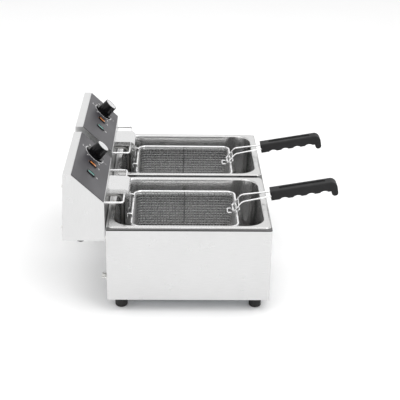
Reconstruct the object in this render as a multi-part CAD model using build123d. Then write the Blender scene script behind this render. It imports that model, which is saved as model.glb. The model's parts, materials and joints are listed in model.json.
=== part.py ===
from build123d import *
from math import atan2, cos, hypot, pi, radians, sin, tan
import os

# Twin countertop electric fryer. Millimetres, +Z up. The basket handles point to -Y, the control
# heads stand at the back, and the two tanks lie side by side along X. While it is built, y = 0 is
# half way between the casing's front face and the back of the heads. At the end everything is
# moved along Y so that the origin is under the middle of the whole fryer.

# ---- overall sizes ----
casing_width = 550.0
casing_depth = 340.0
casing_height = 162.0
head_depth = 87.5
sheet = 1.0
seat_gap = 0.2
slip = 0.1
over = 1.0

# ---- feet and base ----
foot_height = 28.0
foot_diameter = 26.0
foot_inset = 28.0
foot_round = 4.0
foot_screw = 4.8
foot_screw_head = 9.0
foot_screw_gap = 0.2
foot_recess_gap = 0.7
foot_recess_depth = 13.0
foot_screw_past = 2.0
nut_across = 8.0
nut_height = 4.0
nut_bore_gap = 0.05

# ---- casing details ----
casing_corner = 5.0
casing_top_round = 0.8
casing_ledge_gap = 2.0
back_flange = 12.0
divider_width = 22.0
divider_drop = 31.0
divider_inset = 24.0
divider_foot = 14.0
base_slot_count = 6
base_slot_length = 120.0
base_slot_width = 6.0
base_slot_pitch = 18.0
screw_head = 7.0
screw_head_height = 2.2
screw_head_round = 1.3
screw_shank = 3.4
screw_length = 4.0
screw_edge = 22.0
terminal_inset = 40.0
terminal_height = 32.0
terminal_reach = 13.0
terminal_width = 16.0
terminal_tall = 10.0
terminal_plate = 2.0
terminal_stud = 4.8

# ---- oil pans ----
pan_gap = 14.0
flange_side_inset = 6.0
flange_front_inset = 1.5
flange_back_inset = 3.5
flange_corner = 12.0
flange_lip = 3.8
flange_sheet = 1.2
rim_side = 10.5
rim_front = 13.0
rim_back = 11.0
tub_corner = 38.0
tub_floor_gap = 15.0
tub_taper = 3.0
tub_floor_round = 14.0
rim_roll = 2.6
tub_edge_roll = 3.4
lip_web = 4.0

# ---- control heads ----
head_side_inset = 9.0
head_gap = 2.5
head_floor_drop = 31.5
head_front_height = 84.5
head_height = 146.5
head_top_depth = 16.0
head_back_lean = 6.0
head_rim = 10.0
panel_border = 1.5
panel_thickness = 0.8
panel_corner = 2.0
knob_offset = 62.0
panel_row = 45.0
amber_offset = 8.0
green_offset = -41.0
lamp_length = 18.0
lamp_width = 11.0
lamp_proud = 1.6
lamp_round = 1.2
lamp_corner = 4.4
lamp_body = 24.0
lamp_bezel = 1.5
vent_count = 7
vent_pitch = 9.0
vent_length = 60.0
vent_width = 3.0
vent_height = 40.0
cover_screw_low = 29.0
cover_screw_high = 120.0

# ---- thermostat, knob and shaft ----
shaft_diameter = 6.0
shaft_fit = 0.05
shaft_flat = 1.5
thermostat_size = 34.0
thermostat_depth = 20.0
thermostat_corner = 3.0
thermostat_wall = 4.0
shaft_end_gap = 0.5
bush_diameter = 9.5
knob_height = 28.0
knob_diameter = 33.0
knob_top_diameter = 31.0
skirt_diameter = 44.0
skirt_height = 3.5
flute_count = 14
flute_diameter = 4.0
cap_diameter = 27.0
cap_thickness = 1.0
knob_panel_gap = 0.8
knob_socket = 18.0
pointer_width = 1.8
pointer_depth = 0.6

# ---- thermal cutout and its reset button ----
cutout_offset = -40.0
cutout_height = 86.0
cutout_diameter = 26.0
cutout_depth = 18.0
collar_diameter = 14.0
collar_length = 4.0
reset_diameter = 7.0
reset_length = 12.0
reset_proud = 3.0
reset_travel = 1.5
reset_round = 1.0
reset_back_gap = 2.0

# ---- inside the heads ----
block_length = 60.0
block_depth = 22.0
block_height = 18.0
block_ways = 5
block_screw = 5.0
block_screw_depth = 3.0
block_screw_inset = 6.2
block_slot_width = 1.6
block_slot_depth = 5.0
block_switch_gap = 6.0
block_gland_gap = 15.0
switch_length = 28.0
switch_width = 12.0
switch_height = 18.0
switch_round = 1.0
switch_plunger = 3.0
switch_plunger_height = 9.9
switch_tongue_gap = 4.0
gland_side_inset = 37.0
gland_back_inset = 34.0
gland_diameter = 20.0
gland_across = 24.0
gland_bore = 8.4
gland_wall = 1.5
gland_drop = 18.0
gland_hex = 6.0
gland_neck = 16.0
gland_neck_height = 9.0

# ---- support brackets ----
bracket_width = 60.0
bracket_drop = 50.0
bracket_plate = 2.0
bracket_reach = 25.0
tongue_width = 20.0
tongue_height = 14.0
tongue_gap = 1.0

# ---- element and its guard ----
element_diameter = 6.6
element_leg = 14.0
element_side_gap = 34.5
element_entry = 55.5
element_back = 14.5
element_floor_gap = 13.0
element_front = 62.0
element_return = 60.0
element_bend = 14.0
element_inside = 34.0
ferrule_diameter = 14.0
ferrule_length = 9.0
guard_width = 74.0
guard_top = 78.0
guard_front = 47.5
guard_sheet = 1.2
guard_flange = 10.0
guard_bend = 12.0
guard_tab = 12.0
guard_screw_inset = 8.0
guard_screw_drop = 1.0
grille_side_gap = 8.0
grille_front_gap = 22.5
grille_corner = 8.0
grille_gap = 3.5
slot_rows = 9
slot_columns = 2
slot_width = 11.0
slot_margin = 10.0
bulb_diameter = 6.0
bulb_floor_gap = 25.7
bulb_drop = 30.0
bulb_round = 2.5
bulb_offset = 25.0
capillary = 1.6
capillary_drop = 8.0
capillary_bend = 8.0
capillary_inside = 18.0

# ---- basket hanger ----
hanger_rod = 4.5
hanger_side_gap = 4.0
hanger_drop = 8.5
hanger_bend = 6.0
hanger_inside = 12.0

# ---- baskets ----
basket_side_gap = 30.5
basket_front_gap = 52.0
basket_guard_gap = 4.5
basket_rim_drop = 18.2
basket_grille_gap = 1.7
basket_corner = 18.0
rim_wire = 5.0
frame_wire = 3.0
second_wire_drop = 5.5
mesh_wall = 1.2
mesh_round = 12.0
long_hoop_offset = 22.0
hook_offset = 50.0
hook_rise = 11.0
hook_slack = 0.8
hook_bar_gap = 2.45
hook_drop = 9.0
loop_half = 11.0
loop_depth = 19.5
loop_drop = 1.2
loop_notch_gap = 0.4
eye_diameter = 9.0
eye_thickness = 3.0
eye_fit = 0.08

# ---- handles ----
handle_wire = 4.0
pivot_inset = 7.5
pivot_rise = 0.5
pivot_half = 20.0
neck_half = 19.0
grip_half = 12.0
neck_run = 18.6
neck_rise = 24.3
shank_run = 61.0
shank_slope = 10.0
rest_half = 26.0
rest_bend = 1.8
neck_bend = 12.0
grip_bend = 10.0
grip_width = 29.0
grip_length = 144.0
grip_above = 11.0
grip_below = 10.5
grip_hook = 11.5
grip_nose = 14.0
grip_hook_length = 14.0
grip_edge = 3.0
grip_socket = 36.0
grip_socket_start = 3.0
grip_socket_gap = 0.05
grip_hook_round = 6.5
groove_count = 4
groove_pitch = 28.8
groove_start = 13.4
groove_depth = 3.4
groove_radius = 13.9
recess_length = 100.0
recess_width = 11.0
recess_depth = 1.6
recess_start = 20.0

# ---- places worked out from the sizes above ----
overall_depth = casing_depth + head_gap + head_depth
front_face = -overall_depth / 2
back_face = overall_depth / 2
casing_back = front_face + casing_depth
casing_bottom = foot_height
casing_top = foot_height + casing_height
half_width = casing_width / 2
foot_bore = foot_screw + 2 * foot_screw_gap
foot_recess = foot_screw_head + 2 * foot_recess_gap

flange_width = (casing_width - pan_gap - 2 * flange_side_inset) / 2
side_pitch = flange_width + pan_gap
rim_top = casing_top + seat_gap + flange_lip
flange_front = front_face + flange_front_inset
flange_back = casing_back - flange_back_inset
flange_length = flange_back - flange_front
tub_front = flange_front + rim_front
tub_back = flange_back - rim_back
tub_length = tub_back - tub_front
tub_width = flange_width - 2 * rim_side
tub_middle = (tub_front + tub_back) / 2
tub_floor = casing_bottom + sheet + tub_floor_gap
tub_depth = rim_top - tub_floor
ledge_half = side_pitch / 2 + tub_width / 2 + sheet + casing_ledge_gap

head_width = flange_width - 2 * head_side_inset
head_front = casing_back + head_gap
head_floor = casing_top - head_floor_drop
head_top = head_floor + head_height
slant_bottom = head_floor + head_front_height
head_back_top = back_face - head_back_lean
slant_top_y = head_back_top - head_top_depth
slant_angle = atan2(head_top - slant_bottom, slant_top_y - head_front)
slant_length = hypot(head_top - slant_bottom, slant_top_y - head_front)
lean_angle = atan2(head_back_lean, head_height)

guard_top_z = head_floor + guard_top
guard_screw_x = guard_width / 2 - guard_screw_inset
guard_screw_z = guard_top_z - guard_sheet - screw_head / 2 - guard_screw_drop
guard_front_y = head_front - guard_front
gland_offset = gland_side_inset - head_width / 2
gland_y = back_face - gland_back_inset
block_offset = -(switch_length / 2 + block_switch_gap + block_length / 2)
element_pitch = (tub_width / 2 - element_side_gap - element_leg) / 2
element_entry_z = head_floor + element_entry
element_back_y = tub_back - element_back
element_z = tub_floor + element_floor_gap + element_diameter / 2
grille_top = element_z + element_diameter / 2 + grille_gap + guard_sheet
bulb_top = element_entry_z - bulb_drop
capillary_z = element_entry_z - capillary_drop

basket_rim_z = rim_top - basket_rim_drop
basket_floor = grille_top + basket_grille_gap
basket_width = tub_width - 2 * basket_side_gap
basket_back = guard_front_y - basket_guard_gap
basket_front = tub_front + basket_front_gap
basket_length = basket_back - basket_front
basket_middle = (basket_back + basket_front) / 2
grille_width = basket_width - 2 * grille_side_gap
grille_front = basket_front + grille_front_gap
hook_y = basket_back + rim_wire / 2 + hanger_rod + hook_slack + frame_wire / 2
hanger_width = basket_width - 2 * hanger_side_gap
hanger_y = hook_y + frame_wire / 2 + hook_bar_gap + hanger_rod / 2
hanger_z = guard_top_z - hanger_drop
pivot_y = basket_front + pivot_inset
pivot_z = basket_rim_z + pivot_rise
loop_z = pivot_z - handle_wire / 2 - frame_wire / 2 - loop_drop


def box(x0, x1, y0, y1, z0, z1):
    """A box between two corners."""
    size = Box(x1 - x0, y1 - y0, z1 - z0)
    return Pos((x0 + x1) / 2, (y0 + y1) / 2, (z0 + z1) / 2) * size


def rod(x, y, z, direction, radius, length):
    """A round bar that starts at a point and runs along a direction."""
    plane = Plane(origin=(x, y, z), z_dir=direction)
    return extrude(plane * Circle(radius), amount=length)


def post(x, y, z0, z1, radius):
    """An upright cylinder between two heights."""
    return Pos(x, y, z0) * Cylinder(radius, z1 - z0, align=(Align.CENTER, Align.CENTER, Align.MIN))


def tube_along(points, radius, bends):
    """A round wire along straight runs joined by arcs."""
    path = FilletPolyline(*points, radius=bends) if bends else Polyline(*points)
    section = Plane(origin=path @ 0, z_dir=path % 0) * Circle(radius)
    return sweep(section, path=path)


def ring_wire(width, length, corner, y_middle, z, radius):
    """A closed rounded-rectangle wire that lies flat."""
    outline = Pos(0, y_middle, z) * RectangleRounded(width, length, corner)
    path = outline.wire()
    section = Plane(origin=path @ 0, z_dir=path % 0) * Circle(radius)
    return sweep(section, path=path)


def side_profile(points, half):
    """A prism along X with its outline in the YZ plane."""
    outline = Plane.YZ * Polyline(*points, close=True)
    return extrude(make_face(outline), amount=half, both=True)


def plate(width, length, corner, y_middle, z0, z1):
    """A flat rounded plate between two heights."""
    outline = Pos(0, y_middle, z0) * RectangleRounded(width, length, corner)
    return extrude(outline, amount=z1 - z0)


def screw(x, y, z, outward, shank):
    """A dome-headed sheet screw: the head stands on a face and the shank goes in."""
    head = rod(x, y, z, outward, screw_head / 2, screw_head_height)
    rims = head.edges().group_by(SortBy.LENGTH)[-1]
    head = fillet(rims.sort_by(Axis(origin=(x, y, z), direction=outward))[-1], screw_head_round)
    inward = tuple(-value for value in outward)
    return head + rod(x, y, z, inward, screw_shank / 2, shank)


# ---- casing ----

foot_points = [(x, y) for x in (-half_width + foot_inset, half_width - foot_inset)
               for y in (front_face + foot_inset, casing_back - foot_inset)]
back_points = [(x, casing_bottom + screw_edge) for x in (-half_width + screw_edge, -half_width / 3,
                                                         half_width / 3, half_width - screw_edge)]
back_points += [(x, casing_top - screw_edge) for x in (-half_width + screw_edge / 2,
                                                       half_width - screw_edge / 2)]
bracket_top = head_floor - seat_gap
bracket_low = bracket_top - bracket_drop
bracket_points = [(side * side_pitch / 2 + step, bracket_low + screw_edge / 2)
                  for side in (-1, 1) for step in (-bracket_width / 3, bracket_width / 3)]
terminal_x = -half_width + terminal_inset
terminal_z = casing_bottom + terminal_height


def make_casing_shell():
    """Front and sides in one folded sheet, with a narrow ledge turned in at the top."""
    outer = box(-half_width, half_width, front_face, casing_back - sheet, casing_bottom, casing_top)
    front_edges = outer.edges().filter_by(Axis.Z).group_by(Axis.Y)[0]
    shell = fillet(front_edges, casing_corner)
    inner = box(-half_width + sheet, half_width - sheet, front_face + sheet, casing_back,
                casing_bottom - sheet, casing_top - sheet)
    inner = fillet(inner.edges().filter_by(Axis.Z).group_by(Axis.Y)[0], casing_corner - sheet)
    ledge_y = tub_front - sheet - casing_ledge_gap
    opening = box(-ledge_half, ledge_half, ledge_y, casing_back, casing_top - 2 * sheet, casing_top + sheet)
    shell = shell - inner - opening
    top_edges = shell.edges().filter_by(Axis.Y).group_by(Axis.Z)[-1]
    outside = top_edges.filter_by(lambda edge: abs(edge.center().X) > half_width - sheet)
    return fillet(outside, casing_top_round)


def make_back_panel():
    """The rear sheet, with its top and sides turned in behind the shell."""
    inside = half_width - sheet - slip
    panel = box(-inside, inside, casing_back - sheet, casing_back, casing_bottom + sheet, casing_top)
    ledge_y = tub_back + sheet + casing_ledge_gap
    ledge_x = ledge_half - slip
    panel += box(-ledge_x, ledge_x, ledge_y, casing_back - sheet / 2, casing_top - sheet, casing_top)
    for side in (-1, 1):
        edge = side * inside
        panel += box(min(edge, edge - side * sheet), max(edge, edge - side * sheet),
                     casing_back - back_flange, casing_back,
                     casing_bottom + 2 * sheet + slip, casing_top - 2 * sheet)
    for x, z in back_points + bracket_points:
        panel -= rod(x, casing_back - 2 * sheet, z, (0, 1, 0), screw_shank / 2 + slip, 3 * sheet)
    return panel - rod(terminal_x, casing_back - 2 * sheet, terminal_z, (0, 1, 0),
                       terminal_stud / 2 + slip, 3 * sheet)


def make_base_plate():
    """The bottom sheet that the feet bolt to."""
    inside = half_width - sheet - slip
    low = casing_bottom
    base = box(-inside, inside, front_face + sheet + slip, casing_back - 2 * sheet, low, low + sheet)
    trim = base.edges().filter_by(Axis.Z).group_by(Axis.Y)[0]
    base = fillet(trim, casing_corner)
    for x, y in foot_points:
        base -= rod(x, y, low - sheet, (0, 0, 1), foot_bore / 2, 3 * sheet)
    for x in (-casing_width / 4, casing_width / 4):
        for step in range(base_slot_count):
            y = (step - (base_slot_count - 1) / 2) * base_slot_pitch
            slot = SlotOverall(base_slot_length, base_slot_width)
            base -= Pos(x, y, low) * extrude(slot, amount=3 * sheet, both=True)
    return base


def make_divider():
    """The folded channel that stands between the pans."""
    low = casing_bottom + sheet
    front = front_face + divider_inset
    back = casing_back - divider_inset
    half = divider_width / 2
    top = casing_top - divider_drop
    channel = box(-half, half, front, back, low, top)
    channel -= box(-half + sheet, half - sheet, front - over, back + over, low - over, top - sheet)
    for side in (-1, 1):
        near, far = sorted((side * half, side * (half + divider_foot)))
        channel += box(near, far, front, back, low, low + sheet)
    return channel


def make_feet():
    """Four moulded feet with a recess for the screw head."""
    feet = []
    for x, y in foot_points:
        foot = rod(x, y, 0, (0, 0, 1), foot_diameter / 2, foot_height)
        foot = fillet(foot.edges().sort_by(Axis.Z)[0], foot_round)
        foot -= rod(x, y, -over, (0, 0, 1), foot_recess / 2, foot_recess_depth + over)
        foot -= rod(x, y, 0, (0, 0, 1), foot_bore / 2, foot_height + over)
        feet.append(foot)
    return feet


def make_foot_screws():
    """Four screws up through the feet and the base, each with its nut."""
    pieces = []
    top = casing_bottom + sheet
    shank_length = top - foot_recess_depth + nut_height + foot_screw_past
    for x, y in foot_points:
        head = rod(x, y, foot_recess_depth - nut_height, (0, 0, 1), foot_screw_head / 2, nut_height)
        pieces.append(head + rod(x, y, foot_recess_depth, (0, 0, 1), foot_screw / 2, shank_length))
        hexagon = RegularPolygon(nut_across / 2, 6, major_radius=False)
        nut = Pos(x, y, top) * extrude(hexagon, amount=nut_height)
        bore = foot_screw / 2 + nut_bore_gap
        pieces.append(nut - rod(x, y, top - over, (0, 0, 1), bore, nut_height + 2 * over))
    return pieces


def make_casing_screws():
    """The screws in the back panel and in the support brackets."""
    outer = [screw(x, casing_back, z, (0, 1, 0), screw_length) for x, z in back_points]
    return outer + [screw(x, casing_back + bracket_plate, z, (0, 1, 0), bracket_plate + screw_length)
                    for x, z in bracket_points]


def make_support_brackets():
    """Two bent plates on the back panel that carry the heads on an upright tongue."""
    pieces = []
    for side in (-1, 1):
        x = side * side_pitch / 2
        half = bracket_width / 2
        reach = casing_back + bracket_reach
        plate_part = box(x - half, x + half, casing_back, casing_back + bracket_plate,
                         bracket_low, bracket_top)
        plate_part += box(x - half, x + half, casing_back, reach, bracket_top - bracket_plate, bracket_top)
        plate_part += box(x - tongue_width / 2, x + tongue_width / 2, reach - bracket_plate, reach,
                          bracket_top - bracket_plate, bracket_top + tongue_height)
        for step in (-bracket_width / 3, bracket_width / 3):
            plate_part -= rod(x + step, casing_back - over, bracket_low + screw_edge / 2, (0, 1, 0),
                              screw_shank / 2 + slip, bracket_plate + 2 * over)
        pieces.append(plate_part)
    return pieces


def make_bonding_terminal():
    """The earth-bonding stud low on the back, with its nut and a tab bent up beside it."""
    edge = terminal_x + terminal_width / 2
    low = terminal_z - terminal_tall / 2
    high = low + terminal_tall
    y0 = casing_back
    tab = box(edge - terminal_width, edge, y0, y0 + terminal_plate, low, high)
    tab += box(edge, edge + terminal_plate, y0, y0 + terminal_reach, low, high)
    tab -= rod(terminal_x, y0 - over, terminal_z, (0, 1, 0), terminal_stud / 2 + slip,
               terminal_plate + 2 * over)
    stud = rod(terminal_x, y0 - 3 * sheet, terminal_z, (0, 1, 0), terminal_stud / 2,
               terminal_reach + 3 * sheet)
    hexagon = Plane(origin=(terminal_x, y0 + terminal_plate, terminal_z), z_dir=(0, 1, 0)) * RegularPolygon(
        nut_across / 2, 6, major_radius=False)
    return [tab, stud + extrude(hexagon, amount=nut_height)]


# ---- one side: pan, head, basket and handle, built about x = 0 ----

def tub_solid(grow, top, floor):
    """The tapered body of the pan, grown outwards by an amount."""
    outline = Pos(0, tub_middle, top) * RectangleRounded(tub_width + 2 * grow, tub_length + 2 * grow,
                                                         tub_corner + grow)
    body = extrude(outline, amount=-(top - floor), taper=tub_taper)
    return fillet(body.edges().group_by(Axis.Z)[0], tub_floor_round + grow)


def make_oil_pan():
    """A deep drawn pan with a rolled flange."""
    middle = (flange_front + flange_back) / 2
    low = rim_top - flange_lip
    flange = plate(flange_width, flange_length, flange_corner, middle, low, rim_top)
    flange = fillet(flange.edges().group_by(Axis.Z)[-1], rim_roll)
    body = flange + tub_solid(flange_sheet, rim_top - flange_lip / 2, tub_floor - flange_sheet)
    pocket = plate(flange_width - 2 * flange_sheet, flange_length - 2 * flange_sheet,
                   flange_corner - flange_sheet, middle, low - over, rim_top - flange_sheet - rim_roll / 2)
    web = plate(tub_width + 2 * lip_web, tub_length + 2 * lip_web, tub_corner + lip_web, tub_middle,
                tub_floor - tub_depth, rim_top)
    body -= pocket - web
    body -= tub_solid(0, rim_top, tub_floor)
    mouth = body.edges().group_by(Axis.Z)[-1].filter_by(
        lambda edge: abs(edge.center().X) < tub_width / 2 + over
        and tub_front - over < edge.center().Y < tub_back + over)
    return fillet(mouth, tub_edge_roll)


def head_outline(inset):
    """The head's side outline, drawn in by an amount."""
    low = head_floor + inset
    high = head_top - inset
    front = head_front + inset
    lean = tan(lean_angle)
    shift = inset / cos(lean_angle)
    drop = inset / cos(slant_angle)
    slope = tan(slant_angle)
    slant_low = slant_bottom - drop + inset * slope
    slant_y = head_front + (high - slant_bottom + drop) / slope
    back_low = back_face - shift - (low - head_floor) * lean
    back_high = back_face - shift - (high - head_floor) * lean
    return [(front, low), (front, slant_low), (slant_y, high), (back_high, high), (back_low, low)]


panel_normal = (0, -sin(slant_angle), cos(slant_angle))
panel_down = (0, -cos(slant_angle), -sin(slant_angle))
back_normal = (0, cos(lean_angle), sin(lean_angle))


def on_panel(x, row, lift):
    """A point on the sloping panel: across, down from its top edge, and out from it."""
    y = slant_top_y + panel_down[1] * row + panel_normal[1] * lift
    z = head_top + panel_down[2] * row + panel_normal[2] * lift
    return (x, y, z)


def panel_plane(x, row, lift):
    """A work plane on the panel, with its X along the fryer's X."""
    return Plane(origin=on_panel(x, row, lift), x_dir=(1, 0, 0), z_dir=panel_normal)


def on_back(x, height, lift):
    """A point on the leaning back of the head."""
    y = back_face - tan(lean_angle) * height + back_normal[1] * lift
    return (x, y, head_floor + height + back_normal[2] * lift)


def lamp_hole(x, grow):
    """The opening that a lamp fills."""
    outline = panel_plane(x, panel_row, -lamp_body) * RectangleRounded(
        lamp_width + 2 * grow, lamp_length + 2 * grow, lamp_corner + grow)
    return extrude(outline, amount=lamp_body + 2 * panel_thickness)


cover_points = [(x, h) for x in (-head_width / 2 + head_rim / 2, head_width / 2 - head_rim / 2)
                for h in (cover_screw_low, cover_screw_high)]
cover_points += [(0, head_rim / 2)]
front_cut = head_front - 2 * sheet
front_cut_length = 6 * sheet


def head_openings():
    """Everything that passes through the head's front, floor and sloping face."""
    cuts = [lamp_hole(amber_offset, slip), lamp_hole(green_offset, slip)]
    shaft_start = on_panel(knob_offset, panel_row, -3 * sheet)
    cuts.append(rod(*shaft_start, panel_normal, bush_diameter / 2 + slip, 6 * sheet))
    for side in (-1, 1):
        cuts.append(rod(side * hanger_width / 2, front_cut, hanger_z, (0, 1, 0), hanger_rod / 2 + slip,
                        front_cut_length))
        cuts.append(rod(side * element_leg, front_cut, element_entry_z, (0, 1, 0),
                        element_diameter / 2 + slip, front_cut_length))
    cuts.append(rod(bulb_offset, front_cut, capillary_z, (0, 1, 0), 2 * capillary, front_cut_length))
    tongue_y = casing_back + bracket_reach - bracket_plate / 2
    reach = bracket_plate / 2 + 2 * tongue_gap
    cuts.append(box(-tongue_width / 2 - tongue_gap, tongue_width / 2 + tongue_gap, tongue_y - reach,
                    tongue_y + reach, head_floor - over, head_floor + 2 * sheet))
    cuts.append(post(gland_offset, gland_y, head_floor - over, head_floor + 2 * sheet,
                     gland_neck / 2 + slip))
    return cuts


def behind_head(inset, low, high, half):
    """Everything behind a plane that leans with the head's back, between two heights."""
    front = back_face - inset
    behind = back_face + head_depth
    lean = head_height * tan(lean_angle)
    return side_profile([(front, low), (front - lean, high), (behind, high), (behind, low)], half)


def make_head_case():
    """The folded head with its ends, top, sloping face, front and floor. Its back is open."""
    outer = side_profile(head_outline(0), head_width / 2)
    inner = side_profile(head_outline(sheet), head_width / 2 - sheet)
    case = outer - inner
    slab = behind_head(sheet, head_floor - over, head_top + over, head_width)
    rim = (outer - side_profile(head_outline(2 * sheet), head_width / 2 - sheet)) - slab
    case = (case - slab) + (rim & behind_head(3 * sheet, head_floor, head_top, head_width / 2))
    case -= behind_head(3 * sheet, head_floor + head_rim, head_top - head_rim, head_width / 2 - head_rim)
    for cut in head_openings():
        case -= cut
    for x, height in cover_points:
        case -= rod(*on_back(x, height, -4 * sheet), back_normal, screw_shank / 2 + slip, 6 * sheet)
    for side in (-1, 1):
        case -= rod(side * guard_screw_x, front_cut, guard_screw_z, (0, 1, 0), screw_shank / 2 + slip,
                    front_cut_length)
    return case


def make_head_cover():
    """The rear cover with its vent slots and the hole for the reset button."""
    top = head_top - slip
    low = head_floor + slip
    high_y = back_face - (top - head_floor) * tan(lean_angle)
    low_y = back_face - (low - head_floor) * tan(lean_angle)
    inner = sheet - slip
    cover = side_profile([(low_y, low), (high_y, top), (high_y - inner, top), (low_y - inner, low)],
                         head_width / 2 - slip)
    for step in range(vent_count):
        point = on_back(0, vent_height + (step - (vent_count - 1) / 2) * vent_pitch, 0)
        slot = Plane(origin=point, x_dir=(1, 0, 0), z_dir=back_normal) * SlotOverall(vent_length, vent_width)
        cover -= extrude(slot, amount=3 * sheet, both=True)
    cover -= rod(*on_back(cutout_offset, cutout_height, -3 * sheet), back_normal,
                 collar_diameter / 2 + slip, 6 * sheet)
    for x, height in cover_points:
        cover -= rod(*on_back(x, height, -3 * sheet), back_normal, screw_shank / 2 + slip, 6 * sheet)
    return cover


def make_control_panel():
    """The printed plate on the sloping face."""
    outline = panel_plane(0, slant_length / 2, 0) * RectangleRounded(
        head_width - 2 * panel_border, slant_length - 2 * panel_border, panel_corner)
    panel = extrude(outline, amount=panel_thickness)
    for cut in head_openings()[:3]:
        panel -= cut
    return panel


def make_lamp(x):
    """An indicator lamp: a domed lens over a snap-in body."""
    body = extrude(panel_plane(x, panel_row, -lamp_body) * RectangleRounded(
        lamp_width, lamp_length, lamp_corner), amount=lamp_body + panel_thickness)
    lens = extrude(panel_plane(x, panel_row, panel_thickness) * RectangleRounded(
        lamp_width + 2 * lamp_bezel, lamp_length + 2 * lamp_bezel, lamp_corner + lamp_bezel),
        amount=lamp_proud)
    face = lens.faces().sort_by(Axis(origin=(0, 0, 0), direction=panel_normal))[-1]
    return body + fillet(face.edges(), lamp_round)


def make_thermostat():
    """The thermostat: a square case with a bush that clamps it to the sloping face."""
    back = -sheet - thermostat_depth
    body = extrude(panel_plane(knob_offset, panel_row, back) * RectangleRounded(
        thermostat_size, thermostat_size, thermostat_corner), amount=thermostat_depth)
    start = on_panel(knob_offset, panel_row, -2 * sheet)
    body += rod(*start, panel_normal, bush_diameter / 2, sheet + panel_thickness)
    bore = on_panel(knob_offset, panel_row, back + thermostat_wall)
    return body - rod(*bore, panel_normal, shaft_diameter / 2 + shaft_fit, thermostat_depth)


def make_shaft():
    """The thermostat's shaft, with a flat where the knob sits."""
    low = -sheet - thermostat_depth + thermostat_wall + shaft_end_gap
    knob_base = panel_thickness + knob_panel_gap
    high = knob_base + knob_socket - shaft_end_gap
    radius = shaft_diameter / 2
    shaft = post(0, 0, low, high, radius)
    flat_low = knob_base + skirt_height - seat_gap
    shaft -= box(-radius, radius, radius - shaft_flat, radius, flat_low, high + over)
    return panel_plane(knob_offset, panel_row, 0) * shaft


def make_knob():
    """The fluted knob with a skirt, a socket for the shaft and a seat for its cap."""
    knob = post(0, 0, 0, skirt_height, skirt_diameter / 2)
    knob += Cone(knob_diameter / 2, knob_top_diameter / 2, knob_height,
                 align=(Align.CENTER, Align.CENTER, Align.MIN))
    flute_reach = knob_diameter / 2 + flute_diameter / 4
    for step in range(flute_count):
        angle = 2 * pi * (step + 0.5) / flute_count
        knob -= post(cos(angle) * flute_reach, sin(angle) * flute_reach, skirt_height,
                     knob_height + over, flute_diameter / 2)
    knob -= post(0, 0, knob_height - cap_thickness, knob_height + over, cap_diameter / 2 + slip)
    bore = shaft_diameter / 2 + shaft_fit
    knob -= post(0, 0, -over, skirt_height, bore)
    flat = box(-bore, bore, bore - shaft_flat, bore, 0, knob_socket + over)
    knob -= post(0, 0, skirt_height, knob_socket, bore) - flat
    knob -= box(-pointer_width / 2, pointer_width / 2, -skirt_diameter / 2 - over, -knob_diameter / 2,
                skirt_height - pointer_depth, skirt_height + over)
    return panel_plane(knob_offset, panel_row, panel_thickness + knob_panel_gap) * knob


def make_knob_cap():
    """The thin metal disc in the knob's face."""
    lift = panel_thickness + knob_panel_gap + knob_height - cap_thickness
    face = panel_plane(knob_offset, panel_row, lift) * Circle(cap_diameter / 2)
    return extrude(face, amount=cap_thickness)


def make_cutout():
    """The over-temperature cutout behind the rear cover, with a collar round its button."""
    body = rod(*on_back(cutout_offset, cutout_height, -sheet - cutout_depth), back_normal,
               cutout_diameter / 2, cutout_depth)
    body += rod(*on_back(cutout_offset, cutout_height, -2 * sheet), back_normal, collar_diameter / 2,
                collar_length)
    depth = reset_length + reset_travel + reset_back_gap
    bore = on_back(cutout_offset, cutout_height, collar_length - depth)
    return body - rod(*bore, back_normal, reset_diameter / 2 + slip, depth + over)


def make_reset_button():
    """The red button that resets the cutout."""
    start = on_back(cutout_offset, cutout_height, collar_length - 2 * sheet + reset_proud - reset_length)
    button = rod(*start, back_normal, reset_diameter / 2, reset_length)
    return fillet(button.edges().sort_by(Axis(origin=(0, 0, 0), direction=back_normal))[-1], reset_round)


def make_terminal_block():
    """The mains terminal block on the floor of the head."""
    low = head_floor + sheet
    high = low + block_height
    y0 = gland_y - block_gland_gap - block_depth
    x0 = block_offset - block_length / 2
    block = box(x0, x0 + block_length, y0, y0 + block_depth, low, high)
    step = block_length / block_ways
    for way in range(block_ways):
        x = x0 + step * (way + 0.5)
        for y in (y0 + block_screw_inset, y0 + block_depth - block_screw_inset):
            block -= post(x, y, high - block_screw_depth, high + over, block_screw / 2)
        if way:
            edge = x - step / 2
            block -= box(edge - block_slot_width / 2, edge + block_slot_width / 2, y0 - over,
                         y0 + block_depth + over, high - block_slot_depth, high + over)
    return block


def make_safety_switch():
    """The microswitch that the bracket's tongue holds closed."""
    low = head_floor + sheet
    y0 = casing_back + bracket_reach + switch_tongue_gap
    body = box(-switch_length / 2, switch_length / 2, y0, y0 + switch_width, low, low + switch_height)
    body = fillet(body.edges().filter_by(Axis.Y), switch_round)
    reach = switch_tongue_gap - seat_gap
    return body + rod(0, y0, low + switch_plunger_height, (0, -1, 0), switch_plunger / 2, reach)


def make_cable_gland():
    """The cable gland in the floor of the head."""
    hexagon = Pos(gland_offset, gland_y, head_floor - gland_hex) * extrude(
        RegularPolygon(gland_across / 2, 6, major_radius=False), amount=gland_hex)
    dome = rod(gland_offset, gland_y, head_floor - gland_hex, (0, 0, -1), gland_diameter / 2,
               gland_drop - gland_hex)
    dome = fillet(dome.edges().sort_by(Axis.Z)[0], gland_diameter / 2 - gland_bore / 2 - gland_wall)
    neck = post(gland_offset, gland_y, head_floor, head_floor + gland_neck_height, gland_neck / 2)
    gland = hexagon + dome + neck
    return gland - post(gland_offset, gland_y, head_floor - gland_drop - over,
                        head_floor + gland_neck_height + over, gland_bore / 2)


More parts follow.
